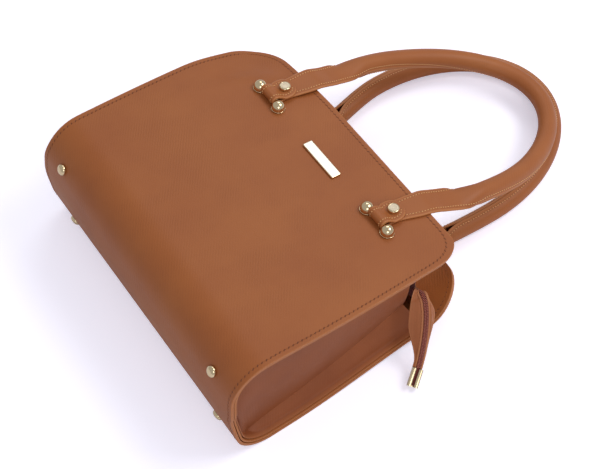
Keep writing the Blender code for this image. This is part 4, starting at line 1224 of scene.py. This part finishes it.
def build_tail():
    """The end of the zip that hangs out: two sewn leaves, woven tape, coil and a U-shaped cap."""
    stations = tail_stations()
    bare = [s for s in stations if (s[1] - stations[0][1]).length > TAIL_BARE_TAPE]
    tape_half = (CHAIN_SPLIT / 2 + CHAIN_WIDTH) * TAIL_COIL
    build_leaves(bare, tape_half + GAP)
    rows = []
    for t, point, run, normal, front in stations:
        half = (tape_half + TAIL_TAPE_EDGE) * opened(t, TAIL_TAPE_OPENS_BY)
        rows.append([point - normal * 0.0001 + front * half * (i / 4 - 1) for i in range(9)])
    rows.append([p + run * (END_CAP_LENGTH - 4 * GAP) for p in rows[-1]])
    tape = thicken(grid_piece("tail_woven_tape", rows, tape_cloth), TAPE, 0.0)
    fit(tape, "zip_tail", "tape", "tail_tape")
    half_w = END_CAP_WIDTH / 2
    half_t = END_CAP_THICKNESS / 2
    wall = END_CAP_WALL
    lip = END_CAP_SLOT / 2
    outside = [(half_t - wall, lip), (half_t, lip), (half_t, half_w), (-half_t, half_w)]
    inside = [(wall - half_t, half_w - wall), (half_t - wall, half_w - wall)]
    corners = outside + [(x, -y) for x, y in (inside + outside)[::-1]] + inside
    outline = soften(corners + corners[:2], END_CAP_ROUNDED)[1:-1]
    place = Matrix.Translation(point - normal * TAPE / 2)
    place = place @ Matrix((run, normal, front)).transposed().to_4x4()
    loops = []
    for along in (0.0, END_CAP_EDGE, END_CAP_LENGTH - END_CAP_EDGE, END_CAP_LENGTH):
        loops.append([place @ Vector((along, p.x, p.y)) for p in outline])
    fit(shape_edges(loft("tail_metal_cap", loops, gold)), "zip_tail", "gold", "tail_end_cap")


def panel_frame(panel_z, y, sign):
    """A frame on a panel's outer face at height y: X across, Z outwards."""
    step = 0.0001
    slope = math.atan2(panel_z(y + step) - panel_z(y - step), 2 * step)
    turn = slope if sign > 0 else slope + math.pi
    return Matrix.Translation((0, y, panel_z(y))) @ Matrix.Rotation(turn, 4, "X")


def rod_axis(panel_z, sign):
    """The axis of the handle rods of one panel, as a point on the bag's middle."""
    return panel_frame(panel_z, ROD_Y, sign) @ Vector((0, 0, ROD_STANDOFF))


def ball_stud_outline():
    """A ball sunk into a round flange that hugs it, as (radius, height) from its top down."""
    flange_top = GAP + STUD_FLANGE
    meet = math.asin((BALL_HEIGHT - flange_top - STUD_ROUNDED) / BALL_RADIUS)
    ball = arc(Vector((0, BALL_HEIGHT)), BALL_RADIUS, math.pi / 2, -meet, 22)
    rim = [
        (ball[-1].x + 0.0001, flange_top),
        (STUD_FLANGE_RADIUS, flange_top),
        (STUD_FLANGE_RADIUS, GAP),
        (0.0, GAP),
    ]
    return ball[:-1] + soften([ball[-1], *rim], STUD_ROUNDED)


def build_hardware():
    """The bridges that carry the handles: each a rod between two ball studs."""
    rod_half = STRAP_WIDTH_AT_ROD / 2 + GAP
    end = ROD_RADIUS * 0.15
    rod = [(0, rod_half), (ROD_RADIUS - end, rod_half), (ROD_RADIUS, rod_half - end)]
    rod += [(radius, -height) for radius, height in reversed(rod)]
    sideways = Matrix.Rotation(math.pi / 2, 4, "Y")
    for name, panel_z, sign in (("front", front_z, 1.0), ("back", back_z, -1.0)):
        on_panel = panel_frame(panel_z, ROD_Y, sign) @ Matrix.Translation((0, -BALL_BACK * sign, 0))
        axis = Matrix.Translation(rod_axis(panel_z, sign))
        for side, x in (("left", -ROD_X), ("right", ROD_X)):
            label = f"{name}_{side}"
            place = Matrix.Translation((x, 0, 0)) @ axis @ sideways
            fit(turned(label + "_bridge_rod", rod, place, gold), "bag", "gold", label + "_rod")
            reach = math.copysign(STUD_X, x)
            for end_name, offset in (("outer", reach), ("inner", -reach)):
                place = Matrix.Translation((x + offset, 0, 0)) @ on_panel
                piece = turned(f"{label}_ball_{end_name}", ball_stud_outline(), place, gold)
                fit(piece, "bag", "gold", f"{label}_stud_{end_name}")


def strip_shape(distance, handle):
    """The strip's section along a handle: (half width, how far it rises, its edges' angles).

    distance is counted from the rod. The strap widens, then its edges curl under the cord, each
    to its own angle, while its sides draw in and its middle rises to the tube's top.
    """
    spread = blend(distance, STRAP_NARROW_TO, STRAP_FLAT)
    flat = (STRAP_WIDTH_AT_ROD + (STRAP_WIDTH - STRAP_WIDTH_AT_ROD) * spread) / 2
    start, end = handle.drawn_over
    half = flat + (CORD_RADIUS - flat) * blend(distance, start, end)
    rise = blend(distance, start - STRIP_RISES_BEFORE, end)
    angles = []
    for angle, curls_from, closed_at in handle.edges:
        curled = abs(angle) * blend(distance, curls_from, closed_at)
        angles.append(math.radians(math.copysign(max(curled, 1.0), angle)))
    return half, rise, angles


def section(half, rise, angles):
    """The strip's closed outline as (across, normal, wear): its outer face, then its inner one."""
    high, low = angles
    flange = SEAM_FLANGE * blend(math.degrees(high - low), *SEAM_CLOSES)
    places = crowded(SECTION_STEPS, SECTION_CROWDING)
    middle = []
    for place in places:
        end = high if place > 0 else low
        wide = half / math.sin(abs(end)) if abs(end) < math.pi / 2 else half
        lifted = flange * share_of(abs(place), SEAM_LIFTS_FROM, 1.0) ** 1.5
        a = abs(place) * end
        v = (CORD_RADIUS + lifted) * math.cos(a) - CORD_RADIUS * (1 - rise)
        middle.append(Vector(((wide + lifted) * math.sin(a), v)))
    outer, inner = [], []
    for place, point, run in zip(places, middle, runs(middle)):
        side = Vector((-run.y, run.x)).normalized() * STRAP / 2
        wear = 1 - blend(STRAP_HALF_GIRTH * (1 - abs(place)) / STRAP_WORN_EDGE)
        outer.append((*(point + side), wear))
        inner.append((*(point - side), wear))
    loop = []
    for face, start, end in ((outer, outer[-1], inner[-1]), (inner[::-1], inner[0], outer[0])):
        centre = (Vector(start[:2]) + Vector(end[:2])) / 2
        spoke = Vector(start[:2]) - centre
        loop += face
        loop += [(*(centre + Matrix.Rotation(-math.pi * k / 3, 2) @ spoke), 1.0) for k in (1, 2)]
    return loop


def leg_height(start, start_slope, apex, handle, y):
    """Height of a handle at y, from the end of its strap to its apex.

    It is nearly straight and stiff at the strap. Its middle sags, and the leg droops early on.
    """
    run = apex.y - start.y
    drop = apex.z - start.z
    t = (y - start.y) / run
    stiff = (start_slope * run - drop) * t * (1 - t) ** LEG_STIFFNESS
    droop = handle.droop * blend(t, *DROOP_GROWS) * (1 - blend(t, *DROOP_FALLS))
    return start.z + drop * t + stiff - 4 * handle.sag * t * (1 - t) - droop


def arch_points(start, start_slope, apex, handle, side):
    """From the flat strap's end up one leg and round the arch, as (point, share of the arch)."""
    middle_y = apex.y - handle.height
    wide = apex.x + side * handle.half
    course = []
    for t in shares(LEG_STEPS, 1):
        course.append((start.x + (wide - start.x) * blend(t), start.y + (middle_y - start.y) * t, 0.0))
    for t in shares(TUBE_STEPS, 1):
        a = math.pi / 2 * t
        x = apex.x + side * handle.half * math.cos(a)
        course.append((x, middle_y + handle.height * math.sin(a), t))
    points = []
    for x, y, arch_share in course:
        points.append((Vector((x, y, leg_height(start, start_slope, apex, handle, y))), arch_share))
    return points


def tongue_points():
    """The strap's end, from its round tip back over the rod: (along, height, width, stitch in).

    The last value is how far in from the edge the stitches run there, or None past them.
    """
    flat_height = STRAP + GAP - FOLD_RADIUS
    round_radius = TONGUE_WIDTH / 2
    clear = round_radius - STRAP_STITCH_IN
    points = []
    for t in shares(14):
        a = math.radians(87) * (1 - t)
        beyond = round_radius * math.sin(a)
        half = round_radius * math.cos(a)
        stitch = half - math.sqrt(clear**2 - beyond**2) if beyond < clear else None
        points.append((TONGUE - round_radius + beyond, flat_height, 2 * half, stitch))
    for t in shares(16, 1):
        along = (TONGUE - round_radius) * (1 - t)
        height = FOLD_RADIUS + (flat_height - FOLD_RADIUS) * blend(along / TONGUE_LANDS)
        spread = blend(along, STRAP_NARROW_TO, TONGUE_LANDS)
        width = STRAP_WIDTH_AT_ROD + (TONGUE_WIDTH - STRAP_WIDTH_AT_ROD) * spread
        points.append((along, height, width, STRAP_STITCH_IN))
    for t in shares(18, 1)[:-1]:
        a = math.pi / 2 + math.pi * t
        spot = (FOLD_RADIUS * math.cos(a), FOLD_RADIUS * math.sin(a))
        points.append((*spot, STRAP_WIDTH_AT_ROD, STRAP_STITCH_IN))
    return points


def swayed(distance):
    """How much of a leg's sideways sway shows at a distance from its rod."""
    falls = sum(blend(distance, *stretch) for stretch in SWAY_FALLS) / len(SWAY_FALLS)
    return blend(distance, *SWAY_GROWS) * (1 - falls)


def half_handle(handle, rod, along, outward, apex, side):
    """Half of a handle, tongue to apex: its sections, their wear and how far in it is sewn."""
    anchor = rod + Vector((side * ROD_X, 0, 0))
    sway = Vector((handle.sways[0 if side < 0 else 1], 0, 0))
    under = math.pi - math.radians(handle.edges[0][0] + handle.edges[1][0] + 360) / 2
    path = []
    for u, height, width, stitch in tongue_points():
        flat = (width / 2, 0.0, (math.radians(1), math.radians(-1)))
        path.append((anchor + along * u + outward * height, flat, 0.0, stitch))
    folded = len(path)
    foot = anchor - outward * FOLD_RADIUS
    for t in shares(STRAP_STEPS):
        u = STRAP_FLAT * t
        path.append((foot + along * u + sway * swayed(u), strip_shape(u, handle), 0.0, STRAP_STITCH_IN))
    start = foot + along * STRAP_FLAT
    before = start
    travelled = STRAP_FLAT
    for point, arch_share in arch_points(start, along.z / along.y, apex, handle, side):
        travelled += (point - before).length
        before = point
        shape = strip_shape(travelled, handle)
        path.append((point + sway * swayed(travelled), shape, under * blend(arch_share), STRAP_STITCH_IN))
    ways = [run.normalized() for run in runs([point for point, _, _, _ in path])]
    ways[-1] = Vector((-side, 0, 0))
    loops, wears = [], []
    for i, ((point, (half, rise, angles), turn, _), run) in enumerate(zip(path, ways)):
        if i > folded:
            normal = (outward - run * outward.dot(run)).normalized()
            across = run.cross(normal)
        else:
            across = Vector((math.copysign(1, outward.z), 0, 0))
            normal = across.cross(run)
        outline = section(half, rise, [angle + turn for angle in angles])
        loops.append([point + across * u + normal * v for u, v, _ in outline])
        wears.append([wear for _, _, wear in outline])
    return loops, wears, [stitch for _, _, _, stitch in path]


def mirrored(loop):
    """A section's values in the order that the other half of the handle has them."""
    return loop[SECTION_STEPS::-1] + loop[:SECTION_STEPS:-1]


def face_line(loops, stitches, edge, inner=False):
    """Lines along one face of the strip: where it is sewn near an edge, and just inside that."""
    line, beside = [], []
    first = SECTION_STEPS + 3 if inner else 0
    for loop, stitch in zip(loops, stitches):
        if stitch is None:
            continue
        row = loop[first : first + SECTION_STEPS + 1]
        at, length = along_path(row[::-1] if (edge > 0) != inner else row)
        line.append(at(min(stitch, length * 0.45)))
        beside.append(at(min(stitch + BESIDE, length * 0.5)))
    return line, beside


def rivet_outline():
    """A low rivet head as (radius, height): a slightly domed face, a fine step and a round rim."""
    cap = [
        (0.0, RIVET_CAP + RIVET_DOME * 0.35),
        (RIVET_FACE * 0.6, RIVET_CAP + RIVET_DOME * 0.25),
        (RIVET_FACE, RIVET_CAP),
        (RIVET_FACE + RIVET_STEP, RIVET_CAP + 0.0001),
    ]
    rim = RIVET_RADIUS - RIVET_FACE - RIVET_STEP
    for t in shares(6):
        a = math.pi / 2 * (1 - t)
        cap.append((RIVET_RADIUS - rim * (1 - math.cos(a)), RIVET_CAP - RIVET_DOME * (1 - math.sin(a))))
    return cap + [(RIVET_RADIUS, 0.0), (0.0, 0.0)]


def build_core(name, loops):
    """The cord inside a handle, round, with its soft ends well inside the rolled leather."""
    count = SECTION_STEPS + 1
    last = len(loops) - 1
    cord = []
    for i, loop in enumerate(loops):
        inner = loop[count + 2 : 2 * count + 2]
        centre = sum(inner, Vector((0, 0, 0))) / count
        size = CORE_FILL * math.sqrt(max(1 - (1 - min(i, last - i, 4) / 4) ** 2, 0.04))
        cord.append([centre.lerp(spot, size) for spot in inner[::CORE_SKIP]])
    core = loft(name + "_filler_cord", cord, cord_cloth)
    fit(core, name + "_handle", "cord", name + "_handle_core")


def build_handle(handle, rod, along, outward):
    """One handle: a leather strip rolled round a cord, its flat ends folded round the rods."""
    body = handle.name + "_handle"
    rise = rod.z - handle.apex_z
    apex = Vector((handle.apex_x, rod.y + math.sqrt(HANDLE_REACH**2 - rise**2), handle.apex_z))
    halves = [half_handle(handle, rod, along, outward, apex, side) for side in (-1.0, 1.0)]
    flat_count = len(tongue_points()) + STRAP_STEPS
    inner_to = flat_count + LEG_STEPS * 3 // 4
    sewing = Sewing()
    for edge in (-1, 1):
        for half_loops, _, half_stitches in halves:
            lines = face_line(half_loops[:inner_to], half_stitches[:inner_to], edge, True)
            sewing.sew(*lines, -edge, *STRAP_STITCH)
    (loops, wears, stitches), (right_loops, right_wears, right_stitches) = halves
    loops += [mirrored(loop) for loop in right_loops[-2::-1]]
    wears += [mirrored(row) for row in right_wears[-2::-1]]
    stitches += right_stitches[-2::-1]
    closed = flat_count + LEG_STEPS - 6
    build_core(handle.name, loops[closed:-closed])
    fit(loft(handle.name + "_rolled_handle", loops, strap_leather, wears), body, "leather", body)
    for edge in (-1, 1):
        sewing.sew(*face_line(loops, stitches, edge), edge, *STRAP_STITCH)
    sewing.finish(body, gold_thread, body)
    seat = STRAP * 1.5 + 2 * GAP - FOLD_RADIUS
    upright = outward.to_track_quat("Z", "Y").to_matrix().to_4x4()
    for side, x in (("left", -ROD_X), ("right", ROD_X)):
        place = Matrix.Translation(rod + along * RIVET_ALONG + outward * seat + Vector((x, 0, 0))) @ upright
        rivet = turned(f"{handle.name}_{side}_rivet_head", rivet_outline(), place, gold, gold_face)
        fit(rivet, body, "gold", f"{handle.name}_rivet_{side}")


def build_handles():
    """The back handle lies on the floor, and the front one leans over until it rests on it."""
    panel = panel_frame(front_z, ROD_Y, 1.0).to_3x3()
    build_handle(FRONT_HANDLE, rod_axis(front_z, 1.0), panel.col[1].copy(), panel.col[2].copy())
    build_handle(BACK_HANDLE, rod_axis(back_z, -1.0), Vector((0, 1, 0)), Vector((0, 0, -1)))


def build_feet():
    """Four low domed feet on the base, each on a thin washer."""
    dome = [(0.0, FOOT_WASHER + FOOT_CROWN)]
    for t in shares(10, 1):
        a = math.pi / 2 * (1 - t)
        radius = FOOT_FACE + (FOOT_RADIUS - FOOT_FACE) * math.cos(a)
        dome.append((radius, FOOT_WASHER + FOOT_CROWN * math.sin(a)))
    dome += [(FOOT_RADIUS, 0.0), (0.0, 0.0)]
    foot_x = BODY_WIDTH / 2 - FOOT_SIDE_INSET
    outline = base_outline()
    for name, z in (("rear", FOOT_REAR_INSET), ("front", BASE_DEPTH - FOOT_FRONT_INSET)):
        for low, high in zip(outline, outline[1:]):
            if low.y <= z <= high.y:
                spot = low.lerp(high, (z - low.y) / (high.y - low.y))
                turn = math.atan2(high.y - low.y, high.x - low.x)
        frame_there = Matrix.Translation((0, spot.x, spot.y)) @ Matrix.Rotation(turn, 4, "X")
        for side, x in (("left", -foot_x), ("right", foot_x)):
            place = frame_there @ Matrix.Translation((x, 0, GAP))
            piece = turned(f"{name}_{side}_domed_foot", dome, place, gold)
            fit(piece, "bag", "gold", f"foot_{name}_{side}")


def build_plate():
    """The bare nameplate: a polished bevelled rim round a brushed face."""
    levels = (
        (0.0, 0.0),
        (0.0, PLATE_THICKNESS - PLATE_BEVEL),
        (PLATE_BEVEL * 0.3, PLATE_THICKNESS - PLATE_BEVEL * 0.3),
        (PLATE_BEVEL, PLATE_THICKNESS),
    )
    place = Matrix.Translation((PLATE_X, 0, 0)) @ panel_frame(front_z, PLATE_Y, 1.0)
    place = place @ Matrix.Translation((0, 0, GAP))
    size = (PLATE_LENGTH, PLATE_WIDTH)
    piece = slab("bare_nameplate", size, PLATE_CORNER, levels, place, gold, plate_face)
    fit(piece, "bag", "gold", "front_plate")


def aimed(spot, target):
    """Where a camera or a lamp at a spot stands, to look at its target."""
    turn = (Vector(target) - Vector(spot)).to_track_quat("-Z", "Y").to_matrix().to_4x4()
    return Matrix.Translation(spot) @ turn


def stage_object(name, data):
    staged = bpy.data.objects.new(name, data)
    bpy.context.scene.collection.objects.link(staged)
    return staged


def build_camera():
    data = bpy.data.cameras.new("camera")
    data.sensor_width = 36.0
    data.lens = CAMERA_LENS
    data.clip_end = 50.0
    camera = stage_object("camera", data)
    azimuth = math.radians(CAMERA_AZIMUTH)
    elevation = math.radians(CAMERA_ELEVATION)
    flat = math.cos(elevation)
    away = Vector((math.sin(azimuth) * flat, -math.cos(azimuth) * flat, math.sin(elevation)))
    aim = BAG @ Vector(CAMERA_AIM)
    roll = Matrix.Rotation(math.radians(CAMERA_ROLL), 4, "Z")
    camera.matrix_world = aimed(aim + away * CAMERA_DISTANCE, aim) @ roll
    bpy.context.scene.camera = camera


def build_floor():
    """A pale floor that shows the object's shadow and is white to the camera elsewhere."""
    corners = [(x * FLOOR_HALF, y * FLOOR_HALF, 0) for x, y in ((-1, -1), (1, -1), (1, 1), (-1, 1))]
    mesh = bpy.data.meshes.new("floor")
    mesh.from_pydata(corners, [], [(0, 1, 2, 3)])
    floor = stage_object("floor", mesh)
    floor.location.z = cad_low.z - FLOOR_BELOW
    nodes = Nodes("pale_floor")
    seen = nodes.add("LightPath").outputs["Is Camera Ray"]
    pale = nodes.finish(
        Base_Color=srgb(250, 248, 254),
        Roughness=0.7,
        Specular_IOR_Level=0.1,
        Emission_Color=srgb(238, 238, 255),
        Emission_Strength=nodes.math("MULTIPLY", seen, FLOOR_GLOW),
    )
    mesh.materials.append(pale)


def area_light(name, spot, size, power):
    data = bpy.data.lights.new(name, "AREA")
    data.shape = "RECTANGLE"
    data.size, data.size_y = size
    data.energy = power
    stage_object(name, data).matrix_world = aimed(spot, LAMP_AIM)


def build_world():
    """A pale surround, white where the camera looks past the floor."""
    nodes = Nodes("studio", bpy.data.worlds)
    seen = nodes.add("LightPath").outputs["Is Camera Ray"]
    strength = nodes.math("ADD", seen, WORLD_STRENGTH)
    bpy.context.scene.world = nodes.finish("Background", Color=WORLD_COLOUR, Strength=strength)


build_walls()
build_edge_stitching()
build_gussets()
build_closure()
build_slider()
build_tail()
build_hardware()
build_handles()
build_feet()
build_plate()

build_camera()
build_floor()
for name, lamp in LAMPS.items():
    area_light(name, **lamp)
build_world()
bpy.context.scene.view_settings.view_transform = "Standard"
